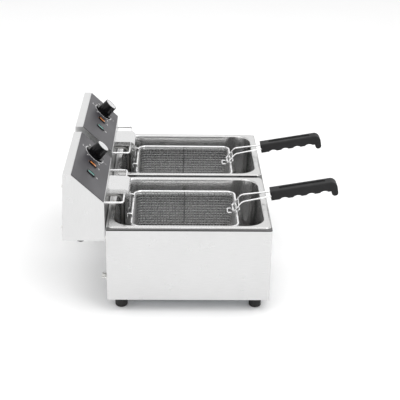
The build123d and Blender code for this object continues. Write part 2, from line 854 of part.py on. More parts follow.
def make_head_screws():
    """The rear cover's screws and the two that hold the guard."""
    pieces = [screw(*on_back(x, height, 0), back_normal, screw_length) for x, height in cover_points]
    for side in (-1, 1):
        pieces.append(screw(side * guard_screw_x, head_front - guard_sheet, guard_screw_z, (0, -1, 0),
                            screw_length))
    return pieces


def make_element():
    """The tubular heater: two legs over the back of the pan and four runs under the basket."""
    inner = element_leg
    middle = inner + element_pitch
    outer = middle + element_pitch
    front_y = tub_front + element_front
    near_y = front_y + element_pitch
    back_y = element_back_y - element_return
    start = (inner, head_front + element_inside, element_entry_z)
    half = [start, (inner, element_back_y, element_entry_z), (inner, element_back_y, element_z),
            (inner, near_y, element_z), (middle, near_y, element_z), (middle, back_y, element_z),
            (outer, back_y, element_z), (outer, front_y, element_z)]
    points = half + [(-x, y, z) for x, y, z in reversed(half)]
    tube = tube_along(points, element_diameter / 2, min(element_bend, element_pitch * 0.45))
    for side in (-1, 1):
        tube += rod(side * inner, head_front + sheet, element_entry_z, (0, 1, 0), ferrule_diameter / 2,
                    ferrule_length)
    return tube


def guard_band(inset, depth, half, low):
    """A bent band of the guard: along under the head's front and down into the pan."""
    front = guard_front_y + inset
    top = guard_top_z - inset
    back = head_front - inset
    band = side_profile([(back, top), (front, top), (front, low), (front + depth, low),
                         (front + depth, top - depth), (back, top - depth)], half)
    outer_edge = band.edges().filter_by(Axis.X).sort_by(lambda edge: edge.center().Y - edge.center().Z)[0]
    return fillet(outer_edge, guard_bend - inset)


def make_element_guard():
    """The bent cover over the element's legs, which runs on as a slotted plate under the basket."""
    half = guard_width / 2
    guard = guard_band(0, guard_flange, half, grille_top - guard_sheet)
    guard -= guard_band(guard_sheet, guard_flange, half - guard_sheet, grille_top - 2 * guard_sheet)
    guard -= box(-half - over, half + over, guard_front_y + guard_sheet, tub_back,
                 grille_top - 2 * guard_sheet, grille_top + element_diameter / 2)
    tab = box(-half, half, head_front - guard_sheet, head_front, guard_top_z - guard_tab, guard_top_z)
    guard += tab
    grille = box(-grille_width / 2, grille_width / 2, grille_front, guard_front_y + guard_sheet,
                 grille_top - guard_sheet, grille_top)
    grille = fillet(grille.edges().filter_by(Axis.Z), grille_corner)
    pitch = (guard_front_y - grille_front - 2 * slot_margin) / slot_rows
    span = (grille_width - 2 * slot_margin) / slot_columns
    for row in range(slot_rows):
        for column in range(slot_columns):
            x = (column - (slot_columns - 1) / 2) * span
            y = grille_front + slot_margin + pitch * (row + 0.5)
            slot = SlotOverall(span - slot_margin, slot_width)
            grille -= Pos(x, y, grille_top) * extrude(slot, amount=2 * guard_sheet, both=True)
    guard += grille
    guard -= rod(-half - over, hanger_y, hanger_z, (1, 0, 0), hanger_rod / 2 + 2 * slip,
                 guard_width + 2 * over)
    for side in (-1, 1):
        guard -= rod(side * guard_screw_x, front_cut, guard_screw_z, (0, 1, 0), screw_shank / 2 + slip,
                     front_cut_length)
    return guard


def make_sensor():
    """The thermostat's bulb beside the element's legs and the thin tube that joins it to the head."""
    y = element_back_y
    bulb = post(bulb_offset, y, grille_top + bulb_floor_gap, bulb_top, bulb_diameter / 2)
    bulb = fillet(bulb.edges().filter_by(GeomType.CIRCLE), bulb_round)
    start = (bulb_offset, y, bulb_top - bulb_diameter / 2)
    end = (bulb_offset, head_front + capillary_inside, capillary_z)
    pipe = tube_along([start, (bulb_offset, y, capillary_z), end], capillary / 2, capillary_bend)
    return bulb + pipe


def make_hanger():
    """The rod on the front of the head that the basket hooks on to drain."""
    half = hanger_width / 2
    inside = head_front + hanger_inside
    return tube_along([(-half, inside, hanger_z), (-half, hanger_y, hanger_z), (half, hanger_y, hanger_z),
                       (half, inside, hanger_z)], hanger_rod / 2, hanger_bend)


def make_basket_mesh():
    """The woven tray, as a thin open-topped shell."""
    gap = rim_wire / 2 + slip
    width = basket_width - 2 * gap
    length = basket_length - 2 * gap
    corner = basket_corner - gap
    top = basket_rim_z - slip
    low = basket_floor + frame_wire + slip
    outer = plate(width, length, corner, basket_middle, low, top)
    outer = fillet(outer.edges().group_by(Axis.Z)[0], mesh_round)
    inner = plate(width - 2 * mesh_wall, length - 2 * mesh_wall, corner - mesh_wall, basket_middle,
                  low + mesh_wall, top + over)
    inner = fillet(inner.edges().group_by(Axis.Z)[0], mesh_round - mesh_wall)
    mesh = outer - inner
    notch = max(frame_wire, eye_thickness) / 2 + loop_notch_gap
    for side in (-1, 1):
        x = side * loop_half
        mesh -= box(x - notch, x + notch, basket_front, basket_front + loop_depth,
                    loop_z - frame_wire / 2 - loop_notch_gap, top + over)
    return mesh


def hoop(points):
    """A frame wire that runs down one wall, under the basket and up the other."""
    return tube_along(points, frame_wire / 2, mesh_round)


def make_basket_frame():
    """The rim, hoops, hooks, hinge loop and handle rest, all welded together."""
    top = basket_rim_z
    low = basket_floor + frame_wire / 2
    half = basket_width / 2
    frame = ring_wire(basket_width, basket_length, basket_corner, basket_middle, top, rim_wire / 2)
    frame += ring_wire(basket_width, basket_length, basket_corner, basket_middle, top - second_wire_drop,
                       frame_wire / 2)
    y = basket_middle
    frame += hoop([(-half, y, top), (-half, y, low), (half, y, low), (half, y, top)])
    for side in (-1, 1):
        x = side * long_hoop_offset
        frame += hoop([(x, basket_front, top), (x, basket_front, low), (x, basket_back, low),
                       (x, basket_back, top)])
        x = side * hook_offset
        hook_top = top + hook_rise
        frame += tube_along([(x, basket_back, top), (x, basket_back, hook_top), (x, hook_y, hook_top),
                             (x, hook_y, hook_top - hook_drop)], frame_wire / 2, frame_wire)
    loop_y = basket_front + loop_depth
    loop = [(-loop_half, basket_front, loop_z), (-loop_half, loop_y, loop_z), (loop_half, loop_y, loop_z),
            (loop_half, basket_front, loop_z)]
    frame += tube_along(loop, frame_wire / 2, frame_wire)
    for side in (-1, 1):
        x = side * loop_half - eye_thickness / 2
        frame += rod(x, pivot_y, pivot_z, (1, 0, 0), eye_diameter / 2, eye_thickness)
    reach = hypot(neck_run, neck_rise)
    along = (rim_wire + pivot_inset) / neck_run
    off = handle_wire / 2 + frame_wire / 2 + slip
    rest_y = pivot_y - neck_run * along - off * neck_rise / reach + frame_wire
    rest_z = pivot_z + neck_rise * along - off * neck_run / reach - frame_wire * neck_rise / neck_run
    rest = [(-rest_half, basket_front, top), (-rest_half, rest_y, rest_z), (rest_half, rest_y, rest_z),
            (rest_half, basket_front, top)]
    frame += tube_along(rest, frame_wire / 2, rest_bend)
    return frame - rod(-loop_half - eye_thickness, pivot_y, pivot_z, (1, 0, 0), handle_wire / 2 + eye_fit,
                       2 * (loop_half + eye_thickness))


def neck_point():
    """Where the handle's wires bend from the steep neck to the shank."""
    return (pivot_y - neck_run, pivot_z + neck_rise)


def shank_end(extra):
    """A point on the shank's line, a distance into the grip."""
    y, z = neck_point()
    run = shank_run + extra * cos(radians(shank_slope))
    return (y - run, z + run * tan(radians(shank_slope)))


def make_handle_wires():
    """One bent wire: the hinge bar across the basket's eyes and two arms into the grip."""
    neck = neck_point()
    grip = shank_end(0)
    end = shank_end(grip_socket)
    points = [(-grip_half, end[0], end[1]), (-grip_half, grip[0], grip[1]), (-neck_half, neck[0], neck[1]),
              (-pivot_half, pivot_y, pivot_z)]
    points += [(-x, y, z) for x, y, z in reversed(points)]
    bends = [grip_bend, neck_bend, handle_wire, handle_wire, neck_bend, grip_bend]
    return tube_along(points, handle_wire / 2, bends)


def make_grip():
    """The moulded grip: finger grooves below, a long recess on top and a hooked nose."""
    start = shank_end(0)
    plane = Plane(origin=(0, start[0], start[1]),
                  x_dir=(0, -cos(radians(shank_slope)), sin(radians(shank_slope))), z_dir=(-1, 0, 0))
    side = Polyline((0, -grip_below), (0, grip_above), (grip_length, grip_above),
                    (grip_length, -grip_below - grip_hook),
                    (grip_length - grip_hook_length, -grip_below - grip_hook),
                    (grip_length - grip_hook_length, -grip_below), close=True)
    grip = extrude(plane * make_face(side), amount=grip_width / 2, both=True)
    corners = grip.edges().filter_by(Axis.X)
    high = corners.filter_by(lambda edge: plane.to_local_coords(edge.center()).Y > grip_above - over)
    nose = high.sort_by(lambda edge: plane.to_local_coords(edge.center()).X)[-1]
    grip = fillet(nose, grip_nose)
    hook = grip.edges().filter_by(Axis.X).filter_by(
        lambda edge: plane.to_local_coords(edge.center()).Y < -grip_below - grip_hook + over)
    grip = fillet(hook, grip_hook_round)
    for step in range(groove_count):
        centre = groove_start + groove_pitch * (step + 0.5)
        groove = plane * Pos(centre, -grip_below - groove_radius + groove_depth) * Circle(groove_radius)
        grip -= extrude(groove, amount=grip_width, both=True)
    ends = grip.edges().filter_by(lambda edge: abs(abs(edge.center().X) - grip_width / 2) < slip)
    grip = fillet(ends, grip_edge)
    recess_plane = Plane(origin=plane.from_local_coords((recess_start + recess_length / 2, grip_above, 0)),
                         x_dir=plane.x_dir, z_dir=plane.y_dir)
    slot = recess_plane * SlotOverall(recess_length, recess_width)
    return grip - extrude(slot, amount=recess_depth, both=True)


def make_grip_sockets():
    """The bores that the handle's arms fill."""
    start = shank_end(0)
    slope = radians(shank_slope)
    begin = (start[0] + grip_socket_start * cos(slope), start[1] - grip_socket_start * sin(slope))
    return [rod(side * grip_half, begin[0], begin[1], (0, -cos(slope), sin(slope)),
                handle_wire / 2 + grip_socket_gap, grip_socket + grip_socket_start + over)
            for side in (-1, 1)]


def make_fitted_grip():
    """The grip with its sockets bored."""
    grip = make_grip()
    for socket in make_grip_sockets():
        grip -= socket
    grip -= make_handle_wires()
    return grip


side_makers = {
    "oil_pan": make_oil_pan,
    "head_case": make_head_case,
    "head_cover": make_head_cover,
    "control_panel": make_control_panel,
    "lamp_amber": lambda: make_lamp(amber_offset),
    "lamp_green": lambda: make_lamp(green_offset),
    "thermostat": make_thermostat,
    "thermostat_shaft": make_shaft,
    "knob": make_knob,
    "knob_cap": make_knob_cap,
    "thermal_cutout": make_cutout,
    "reset_button": make_reset_button,
    "terminal_block": make_terminal_block,
    "safety_switch": make_safety_switch,
    "cable_gland": make_cable_gland,
    "head_screws": make_head_screws,
    "heating_element": make_element,
    "element_guard": make_element_guard,
    "sensor_bulb": make_sensor,
    "basket_hanger": make_hanger,
    "basket_mesh": make_basket_mesh,
    "basket_frame": make_basket_frame,
    "handle_wires": make_handle_wires,
    "handle_grip": make_fitted_grip,
}

casing_makers = {
    "casing_shell": make_casing_shell,
    "back_panel": make_back_panel,
    "base_plate": make_base_plate,
    "centre_divider": make_divider,
    "feet": make_feet,
    "foot_screws": make_foot_screws,
    "casing_screws": make_casing_screws,
    "support_brackets": make_support_brackets,
    "bonding_terminal": make_bonding_terminal,
}


def as_solids(shape):
    """Every solid in a shape or a list of shapes."""
    if isinstance(shape, list):
        return [solid for item in shape for solid in item.solids()]
    return list(shape.solids())


def build_nodes():
    """All nodes by name, each as a list of solids."""
    nodes = {name: as_solids(maker()) for name, maker in casing_makers.items()}
    for name, maker in side_makers.items():
        solids = as_solids(maker())
        for side, label in ((-1, "left"), (1, "right")):
            nodes[f"{name}_{label}"] = [Pos(side * side_pitch / 2, 0, 0) * solid for solid in solids]
    return nodes


def centring_shift(nodes):
    """How far along Y everything moves to put the origin under the middle of the fryer."""
    boxes = [solid.bounding_box() for solids in nodes.values() for solid in solids]
    return -(min(item.min.Y for item in boxes) + max(item.max.Y for item in boxes)) / 2


nodes = build_nodes()
shift = centring_shift(nodes)
os.makedirs("parts", exist_ok=True)
for name, solids in nodes.items():
    moved = [Pos(0, shift, 0) * solid for solid in solids]
    shape = moved[0] if len(moved) == 1 else Compound(moved)
    export_step(shape, f"parts/{name}.step")
print(f"{len(nodes)} nodes, centring shift {shift:.3f} mm")
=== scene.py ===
import json
import logging
import math
from dataclasses import dataclass, field
from enum import Enum

import bpy
from mathutils import Matrix, Vector


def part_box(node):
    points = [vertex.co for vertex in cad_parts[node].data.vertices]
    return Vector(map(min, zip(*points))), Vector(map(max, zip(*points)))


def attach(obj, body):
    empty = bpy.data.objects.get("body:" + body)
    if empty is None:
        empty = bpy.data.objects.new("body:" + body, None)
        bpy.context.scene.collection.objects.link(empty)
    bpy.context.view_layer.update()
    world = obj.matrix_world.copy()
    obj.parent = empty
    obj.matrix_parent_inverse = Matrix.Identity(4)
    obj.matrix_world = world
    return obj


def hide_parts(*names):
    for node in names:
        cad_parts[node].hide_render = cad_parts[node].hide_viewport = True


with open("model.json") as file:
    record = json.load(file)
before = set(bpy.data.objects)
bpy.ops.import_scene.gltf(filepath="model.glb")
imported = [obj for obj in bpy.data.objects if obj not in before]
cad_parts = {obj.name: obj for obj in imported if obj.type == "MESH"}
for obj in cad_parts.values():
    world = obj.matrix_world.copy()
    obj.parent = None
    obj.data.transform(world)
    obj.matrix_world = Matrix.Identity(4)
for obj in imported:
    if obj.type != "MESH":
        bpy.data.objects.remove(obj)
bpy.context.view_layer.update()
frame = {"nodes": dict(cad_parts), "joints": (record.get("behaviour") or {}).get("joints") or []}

log = logging.getLogger("fryer")
logging.basicConfig(level=logging.INFO, format="%(name)s: %(message)s")

MM = 0.001
Point = tuple[float, float, float]
Colour = tuple[float, float, float]
WHITE: Colour = (1.0, 1.0, 1.0)


class Side(Enum):
    """The two halves of the fryer, named as their CAD nodes are."""

    LEFT = "left"
    RIGHT = "right"

    def node(self, part: str) -> str:
        """The name of one of this side's nodes or bodies."""
        return f"{part}_{self.value}"


class Grain(Enum):
    """Which way the brushing or drawing lines of a metal run."""

    ALONG_X = (0.03, 1.0, 1.0)
    ALONG_Y = (1.0, 0.03, 1.0)
    ALONG_Z = (1.0, 1.0, 0.03)


# ---- node graphs ----


def fill_ramp(ramp: bpy.types.ColorRamp, stops: list[tuple[float, Colour]]) -> None:
    """Sets a colour ramp's places and colours."""
    while len(ramp.elements) < len(stops):
        ramp.elements.new(0.5)
    for element, (place, colour) in zip(ramp.elements, stops):
        element.position = place
        element.color = (*colour, 1.0)


class Graph:
    """A material's node tree, with a short call for each thing the finishes need."""

    def __init__(self, name: str) -> None:
        """Starts a material with one Principled shader.

        Args:
            name: The material's name.
        """
        self.material = bpy.data.materials.new(name)
        self.material.use_nodes = True
        self.tree = self.material.node_tree
        self.tree.nodes.clear()
        self.shader = self.add("ShaderNodeBsdfPrincipled")
        output = self.add("ShaderNodeOutputMaterial")
        self.join(self.shader.outputs[0], output.inputs[0])
        self.coordinates = self.add("ShaderNodeTexCoord").outputs["Object"]

    def add(self, kind: str) -> bpy.types.Node:
        """A new node of a kind."""
        return self.tree.nodes.new(kind)

    def join(self, source: bpy.types.NodeSocket, target: bpy.types.NodeSocket) -> None:
        """Links two sockets."""
        self.tree.links.new(source, target)

    def set(self, **values: float | tuple) -> None:
        """Sets the shader's own sockets.

        Args:
            values: Socket names with underscores for spaces, and their values.
        """
        for name, value in values.items():
            self.shader.inputs[name.replace("_", " ")].default_value = value

    def stretched(self, scale: Point, place: Point = (0, 0, 0),
                  turn: Point = (0, 0, 0)) -> bpy.types.NodeSocket:
        """Object coordinates, stretched, or seen from another place and turn.

        Args:
            scale: How much each axis is multiplied.
            place: The origin that the pattern is centred on.
            turn: The pattern's turn about X, Y and Z in radians.

        Returns:
            The mapped vector.
        """
        mapping = self.add("ShaderNodeMapping")
        mapping.vector_type = "TEXTURE"
        mapping.inputs["Location"].default_value = place
        mapping.inputs["Rotation"].default_value = turn
        mapping.inputs["Scale"].default_value = tuple(1 / value for value in scale)
        self.join(self.coordinates, mapping.inputs["Vector"])
        return mapping.outputs["Vector"]

    def noise(self, scale: float, detail: float, stretch: Point = (1, 1, 1)) -> bpy.types.NodeSocket:
        """A cloudy pattern from 0 to 1.

        Args:
            scale: Clouds in a metre.
            detail: How many finer layers it has.
            stretch: How much each axis is multiplied first.

        Returns:
            The pattern's value.
        """
        node = self.add("ShaderNodeTexNoise")
        node.inputs["Scale"].default_value = scale
        node.inputs["Detail"].default_value = detail
        self.join(self.stretched(stretch), node.inputs["Vector"])
        return node.outputs[0]

    def cells(self, scale: float, feature: str = "F1") -> bpy.types.NodeSocket:
        """The distance in a pattern of cells.

        Args:
            scale: Cells in a metre.
            feature: Which distance is taken.

        Returns:
            The distance.
        """
        node = self.add("ShaderNodeTexVoronoi")
        node.feature = feature
        node.inputs["Scale"].default_value = scale
        self.join(self.coordinates, node.inputs["Vector"])
        return node.outputs[0]

    def span(self, value: bpy.types.NodeSocket, low: float, high: float,
             start: float = 0.3, end: float = 0.7) -> bpy.types.NodeSocket:
        """Maps a pattern's middle range onto two values.

        Args:
            value: The pattern.
            low: The result where the pattern is at start.
            high: The result where the pattern is at end.
            start: The pattern's lower value.
            end: The pattern's higher value.

        Returns:
            The mapped value.
        """
        node = self.add("ShaderNodeMapRange")
        for name, number in (("From Min", start), ("From Max", end), ("To Min", low), ("To Max", high)):
            node.inputs[name].default_value = number
        self.join(value, node.inputs["Value"])
        return node.outputs["Result"]

    def tint(self, value: bpy.types.NodeSocket,
             stops: list[tuple[float, Colour]]) -> bpy.types.NodeSocket:
        """Colours a pattern through a ramp.

        Args:
            value: The pattern.
            stops: Places from 0 to 1 with their colours.

        Returns:
            The colour.
        """
        node = self.add("ShaderNodeValToRGB")
        fill_ramp(node.color_ramp, stops)
        self.join(value, node.inputs["Fac"])
        return node.outputs["Color"]

    def place(self, axis: str) -> bpy.types.NodeSocket:
        """One of the object's coordinates."""
        split = self.add("ShaderNodeSeparateXYZ")
        self.join(self.coordinates, split.inputs[0])
        return split.outputs[axis]

    def band(self, axis: str, low: float, high: float, colour: Colour) -> bpy.types.NodeSocket:
        """White with one band of colour.

        Args:
            axis: The axis that the band lies across.
            low: Where the band starts.
            high: Where it ends.
            colour: The band's colour.

        Returns:
            The colour.
        """
        width = high - low
        across = self.span(self.place(axis), 0.0, 1.0, low - width, high + width)
        before, start, end, after = 0.31, 0.34, 0.66, 0.69
        stops = [(0.0, WHITE), (before, WHITE), (start, colour), (end, colour), (after, WHITE)]
        return self.tint(across, stops)

    def product(self, first: bpy.types.NodeSocket, second: bpy.types.NodeSocket) -> bpy.types.NodeSocket:
        """Two colours multiplied."""
        node = self.add("ShaderNodeMix")
        node.data_type = "RGBA"
        node.blend_type = "MULTIPLY"
        node.inputs["Factor"].default_value = 1.0
        colours = [socket for socket in node.inputs if socket.type == "RGBA"]
        self.join(first, colours[0])
        self.join(second, colours[1])
        return [socket for socket in node.outputs if socket.type == "RGBA"][0]

    def total(self, first: bpy.types.NodeSocket, second: bpy.types.NodeSocket) -> bpy.types.NodeSocket:
        """Two values added."""
        node = self.add("ShaderNodeMath")
        node.operation = "ADD"
        self.join(first, node.inputs[0])
        self.join(second, node.inputs[1])
        return node.outputs[0]

    def relief(self, height: bpy.types.NodeSocket, depth: float, strength: float = 1.0) -> None:
        """Gives the shader a bump.

        Args:
            height: The pattern, from 0 to 1.
            depth: How deep the pattern is, in metres.
            strength: How much of it shows.
        """
        node = self.add("ShaderNodeBump")
        node.inputs["Strength"].default_value = strength
        node.inputs["Distance"].default_value = depth
        self.join(height, node.inputs["Height"])
        self.join(node.outputs["Normal"], self.shader.inputs["Normal"])

    def colour(self, socket: bpy.types.NodeSocket) -> None:
        """Links the shader's colour."""
        self.join(socket, self.shader.inputs["Base Color"])

    def rough(self, socket: bpy.types.NodeSocket) -> None:
        """Links the shader's roughness."""
        self.join(socket, self.shader.inputs["Roughness"])


def shade(colour: Colour, amount: float) -> Colour:
    """A colour made lighter or darker by a factor."""
    return tuple(min(1.0, value * amount) for value in colour)


def grey(value: float) -> Colour:
    """A neutral colour."""
    return (value,) * 3


# ---- finishes ----


@dataclass(frozen=True)
class BrushedSteel:
    """Satin sheet steel: fine brushing lines, a faint clouding and soft smudges, with a painted shadow
    line under its top where one is asked for.
    """

    name: str
    colour: Colour = (0.70, 0.70, 0.70)
    roughness: float = 0.30
    grain: Grain = Grain.ALONG_Y
    line_depth: float = 0.000005
    cloud: float = 0.04
    # Where a height is given, a painted shadow line runs just below it.
    shadow_top: float | None = None
    shadow_height: float = 1.8 * MM
    shadow_tone: float = 0.05
    line_scale: float = 1400
    cloud_scale: float = 9
    smudge_scale: float = 38

    def material(self) -> bpy.types.Material:
        """The node material, with a painted shadow line under its top where a height for it is given."""
        graph = Graph(self.name)
        lines = graph.noise(self.line_scale, 3, self.grain.value)
        clouds = graph.noise(self.cloud_scale, 4)
        smudge = graph.noise(self.smudge_scale, 6)
        light = graph.tint(lines, [(0.3, shade(self.colour, 0.965)), (0.7, shade(self.colour, 1.03))])
        soft = graph.tint(clouds, [(0.3, grey(1 - self.cloud)), (0.7, WHITE)])
        steel = graph.product(light, soft)
        # Painted shadow: a dark band just below the top of the sheet, where the pans' flanges shade the
        # casing.
        if self.shadow_top is not None:
            line = graph.band("Z", self.shadow_top - self.shadow_height, self.shadow_top, grey(self.shadow_tone))
            steel = graph.product(steel, line)
        graph.colour(steel)
        base = graph.span(smudge, self.roughness - 0.03, self.roughness + 0.05)
        graph.rough(graph.total(base, graph.span(lines, -0.02, 0.03)))
        graph.relief(lines, self.line_depth, 0.35)
        graph.set(Metallic=1.0)
        return graph.material


@dataclass(frozen=True)
class DrawnSteel:
    """The polished steel of a deep-drawn pan: long upright drawing marks, boil-dry haze, and painted shade
    low in the pan and on its flange.
    """

    name: str
    rim: float
    colour: Colour = (0.85, 0.85, 0.85)
    roughness: float = 0.19
    depth: float = 40 * MM
    # Painted shade: how dark the floor and the flange are made.
    floor_shade: float = 0.68
    flange_shade: float = 0.70
    mark_scale: float = 260
    mark_depth: float = 0.000002
    haze_scale: float = 14

    def material(self) -> bpy.types.Material:
        """The node material, lightest high on the walls, with painted shade towards the floor and on the
        flange.
        """
        graph = Graph(self.name)
        marks = graph.noise(self.mark_scale, 3, Grain.ALONG_Z.value)
        haze = graph.noise(self.haze_scale, 4)
        light = graph.tint(marks, [(0.3, shade(self.colour, 0.99)), (0.7, shade(self.colour, 1.01))])
        warm = graph.tint(haze, [(0.35, (0.965, 0.96, 0.95)), (0.65, WHITE)])
        # Painted shade: the colour darkens down the walls to the floor, where less light reaches, and
        # again at the very top, on the flange.
        height = graph.span(graph.place("Z"), 0.0, 1.0, self.rim - self.depth, self.rim)
        deep = graph.tint(height, [(0.0, grey(self.floor_shade)), (0.80, WHITE), (0.93, WHITE),
                                   (0.97, grey(self.flange_shade))])
        graph.colour(graph.product(graph.product(light, warm), deep))
        base = graph.span(haze, self.roughness - 0.02, self.roughness + 0.04)
        graph.rough(graph.total(base, graph.span(marks, -0.01, 0.01)))
        graph.relief(marks, self.mark_depth, 0.3)
        graph.set(Metallic=1.0)
        return graph.material


@dataclass(frozen=True)
class Galvanised:
    """Zinc-dipped sheet with its spangle of crystals."""

    name: str
    colour: Colour = (0.50, 0.52, 0.54)
    spangle_scale: float = 110
    spangle_depth: float = 0.00005
    bloom_scale: float = 60

    def material(self) -> bpy.types.Material:
        """The node material."""
        graph = Graph(self.name)
        spangle = graph.cells(self.spangle_scale)
        bloom = graph.noise(self.bloom_scale, 5)
        light = graph.tint(spangle, [(0.1, shade(self.colour, 0.8)), (0.6, shade(self.colour, 1.15))])
        dull = graph.tint(bloom, [(0.35, (0.86, 0.87, 0.88)), (0.65, WHITE)])
        graph.colour(graph.product(light, dull))
        graph.rough(graph.span(spangle, 0.34, 0.52, 0.1, 0.6))
        graph.relief(spangle, self.spangle_depth, 0.25)
        graph.set(Metallic=0.9)
        return graph.material


@dataclass(frozen=True)
class PlatedWire:
    """Bright plated wire and screws, with faint drawing marks and dulled patches."""

    name: str
    colour: Colour = (0.82, 0.82, 0.82)
    roughness: float = 0.16
    marks: float = 900
    dark_band_at: float | None = None
    dark_band_width: float = 2.2 * MM
    dark_band_tone: float = 0.25
    mark_depth: float = 0.000003
    patch_scale: float = 70

    def material(self) -> bpy.types.Material:
        """The node material, darker in a band across Y where one is given."""
        graph = Graph(self.name)
        draw = graph.noise(self.marks, 3)
        patch = graph.noise(self.patch_scale, 4)
        metal = graph.product(
            graph.tint(patch, [(0.3, shade(self.colour, 0.9)), (0.62, self.colour)]),
            graph.tint(draw, [(0.3, grey(0.96)), (0.7, WHITE)]))
        if self.dark_band_at is not None:
            low, high = self.dark_band_at - self.dark_band_width / 2, self.dark_band_at + self.dark_band_width / 2
            metal = graph.product(metal, graph.band("Y", low, high, grey(self.dark_band_tone)))
        graph.colour(metal)
        graph.rough(graph.span(patch, self.roughness + 0.08, self.roughness))
        graph.relief(draw, self.mark_depth, 0.3)
        graph.set(Metallic=1.0)
        return graph.material


@dataclass(frozen=True)
class HeatedTube:
    """The element's sheath: straw and blue heat tints low down, cleaner steel at the legs."""

    name: str
    low: float
    high: float
    mottle_scale: float = 55
    scale_grain: float = 700
    scale_depth: float = 0.00003

    def material(self) -> bpy.types.Material:
        """The node material."""
        graph = Graph(self.name)
        mottle = graph.noise(self.mottle_scale, 5)
        height = graph.span(graph.place("Z"), 0.0, 0.7, self.low, self.high)
        heat = graph.total(height, graph.span(mottle, -0.12, 0.22))
        graph.colour(graph.tint(heat, [(0.0, (0.16, 0.15, 0.16)), (0.18, (0.30, 0.26, 0.22)),
                                       (0.4, (0.44, 0.42, 0.40)), (0.8, (0.58, 0.58, 0.57))]))
        graph.rough(graph.span(mottle, 0.28, 0.46))
        graph.relief(graph.noise(self.scale_grain, 3), self.scale_depth, 0.5)
        graph.set(Metallic=0.95)
        return graph.material


@dataclass(frozen=True)
class SpunFace:
    """Turned aluminium: rings round the knob's own axis."""

    name: str
    centre: Point
    turn: float
    ring_scale: float = 420
    ring_depth: float = 0.00002

    def material(self) -> bpy.types.Material:
        """The node material."""
        graph = Graph(self.name)
        rings = graph.add("ShaderNodeTexWave")
        rings.wave_type = "RINGS"
        rings.rings_direction = "Z"
        rings.inputs["Scale"].default_value = self.ring_scale
        rings.inputs["Distortion"].default_value = 1.2
        rings.inputs["Detail"].default_value = 3
        graph.join(graph.stretched((1, 1, 1), self.centre, (self.turn, 0, 0)), rings.inputs["Vector"])
        ring = rings.outputs["Fac"]
        graph.colour(graph.tint(ring, [(0.0, (0.58, 0.58, 0.59)), (1.0, (0.72, 0.72, 0.73))]))
        graph.rough(graph.span(ring, 0.22, 0.32, 0.0, 1.0))
        graph.relief(ring, self.ring_depth, 0.5)
        graph.set(Metallic=1.0)
        return graph.material


@dataclass(frozen=True)
class Moulded:
    """Moulded plastic or rubber with a fine spark-eroded texture and slight sheen wear."""

    name: str
    colour: Colour
    roughness: float = 0.55
    texture: float = 1600
    depth: float = 0.00008
    coat: float = 0.0
    gloss: float = 0.3
    wear_scale: float = 34
    fine_share: float = 0.6

    def material(self) -> bpy.types.Material:
        """The node material."""
        graph = Graph(self.name)
        pits = graph.cells(self.texture)
        wear = graph.noise(self.wear_scale, 5)
        fine = graph.noise(self.texture * self.fine_share, 2)
        graph.colour(graph.product(
            graph.tint(wear, [(0.3, shade(self.colour, 0.86)), (0.7, shade(self.colour, 1.16))]),
            graph.tint(fine, [(0.3, grey(0.9)), (0.7, WHITE)])))
        graph.rough(graph.span(wear, self.roughness + 0.05, self.roughness - 0.06))
        graph.relief(pits, self.depth, 0.35)
        graph.set(Coat_Weight=self.coat, Coat_Roughness=0.06, Specular_IOR_Level=self.gloss)
        return graph.material


@dataclass(frozen=True)
class LampLens:
    """A coloured lens with moulded ribs behind a clear face."""

    name: str
    colour: Colour
    glow: float = 0.04
    rib_scale: float = 260
    rib_depth: float = 0.00006
    cloud_scale: float = 180

    def material(self) -> bpy.types.Material:
        """The node material."""
        graph = Graph(self.name)
        ribs = graph.add("ShaderNodeTexWave")
        ribs.bands_direction = "X"
        ribs.inputs["Scale"].default_value = self.rib_scale
        ribs.inputs["Distortion"].default_value = 0.3
        graph.join(graph.coordinates, ribs.inputs["Vector"])
        rib = ribs.outputs["Fac"]
        tinted = graph.tint(rib, [(0.0, shade(self.colour, 0.6)), (1.0, shade(self.colour, 1.1))])
        cloud = graph.tint(graph.noise(self.cloud_scale, 3), [(0.3, grey(0.85)), (0.7, WHITE)])
        graph.colour(graph.product(tinted, cloud))
        graph.rough(graph.span(rib, 0.16, 0.24, 0.0, 1.0))
        graph.relief(rib, self.rib_depth, 0.3)
        graph.set(Coat_Weight=0.15, Coat_Roughness=0.05, Specular_IOR_Level=0.25,
                  Emission_Strength=self.glow, Emission_Color=(*self.colour, 1.0))
        return graph.material


@dataclass(frozen=True)
class PrintedFace:
    """The control panel's satin ink on steel: fine grit, faint roller lines and rub marks."""

    name: str
    colour: Colour = (0.046, 0.044, 0.050)
    grit_scale: float = 1900
    grit_depth: float = 0.00003
    rub_scale: float = 22
    rub_stretch: Point = (0.4, 1.0, 1.0)

    def material(self) -> bpy.types.Material:
        """The node material."""
        graph = Graph(self.name)
        grit = graph.noise(self.grit_scale, 2)
        rub = graph.noise(self.rub_scale, 5, self.rub_stretch)
        graph.colour(graph.product(
            graph.tint(rub, [(0.3, shade(self.colour, 0.9)), (0.7, shade(self.colour, 1.1))]),
            graph.tint(grit, [(0.35, grey(0.85)), (0.65, WHITE)])))
        graph.rough(graph.span(rub, 0.46, 0.36))
        graph.relief(grit, self.grit_depth, 0.4)
        graph.set(Specular_IOR_Level=0.45, Metallic=0.15)
        return graph.material


@dataclass(frozen=True)
class Ink:
    """Screen-printed ink, slightly uneven."""

    name: str
    colour: Colour
    patch_scale: float = 900
    patch_depth: float = 0.00002

    def material(self) -> bpy.types.Material:
        """The node material."""
        graph = Graph(self.name)
        patch = graph.noise(self.patch_scale, 4)
        graph.colour(graph.tint(patch, [(0.25, shade(self.colour, 0.8)), (0.6, self.colour)]))
        graph.rough(graph.span(patch, 0.4, 0.55))
        graph.relief(patch, self.patch_depth, 0.3)
        return graph.material


# ---- modelling helpers ----


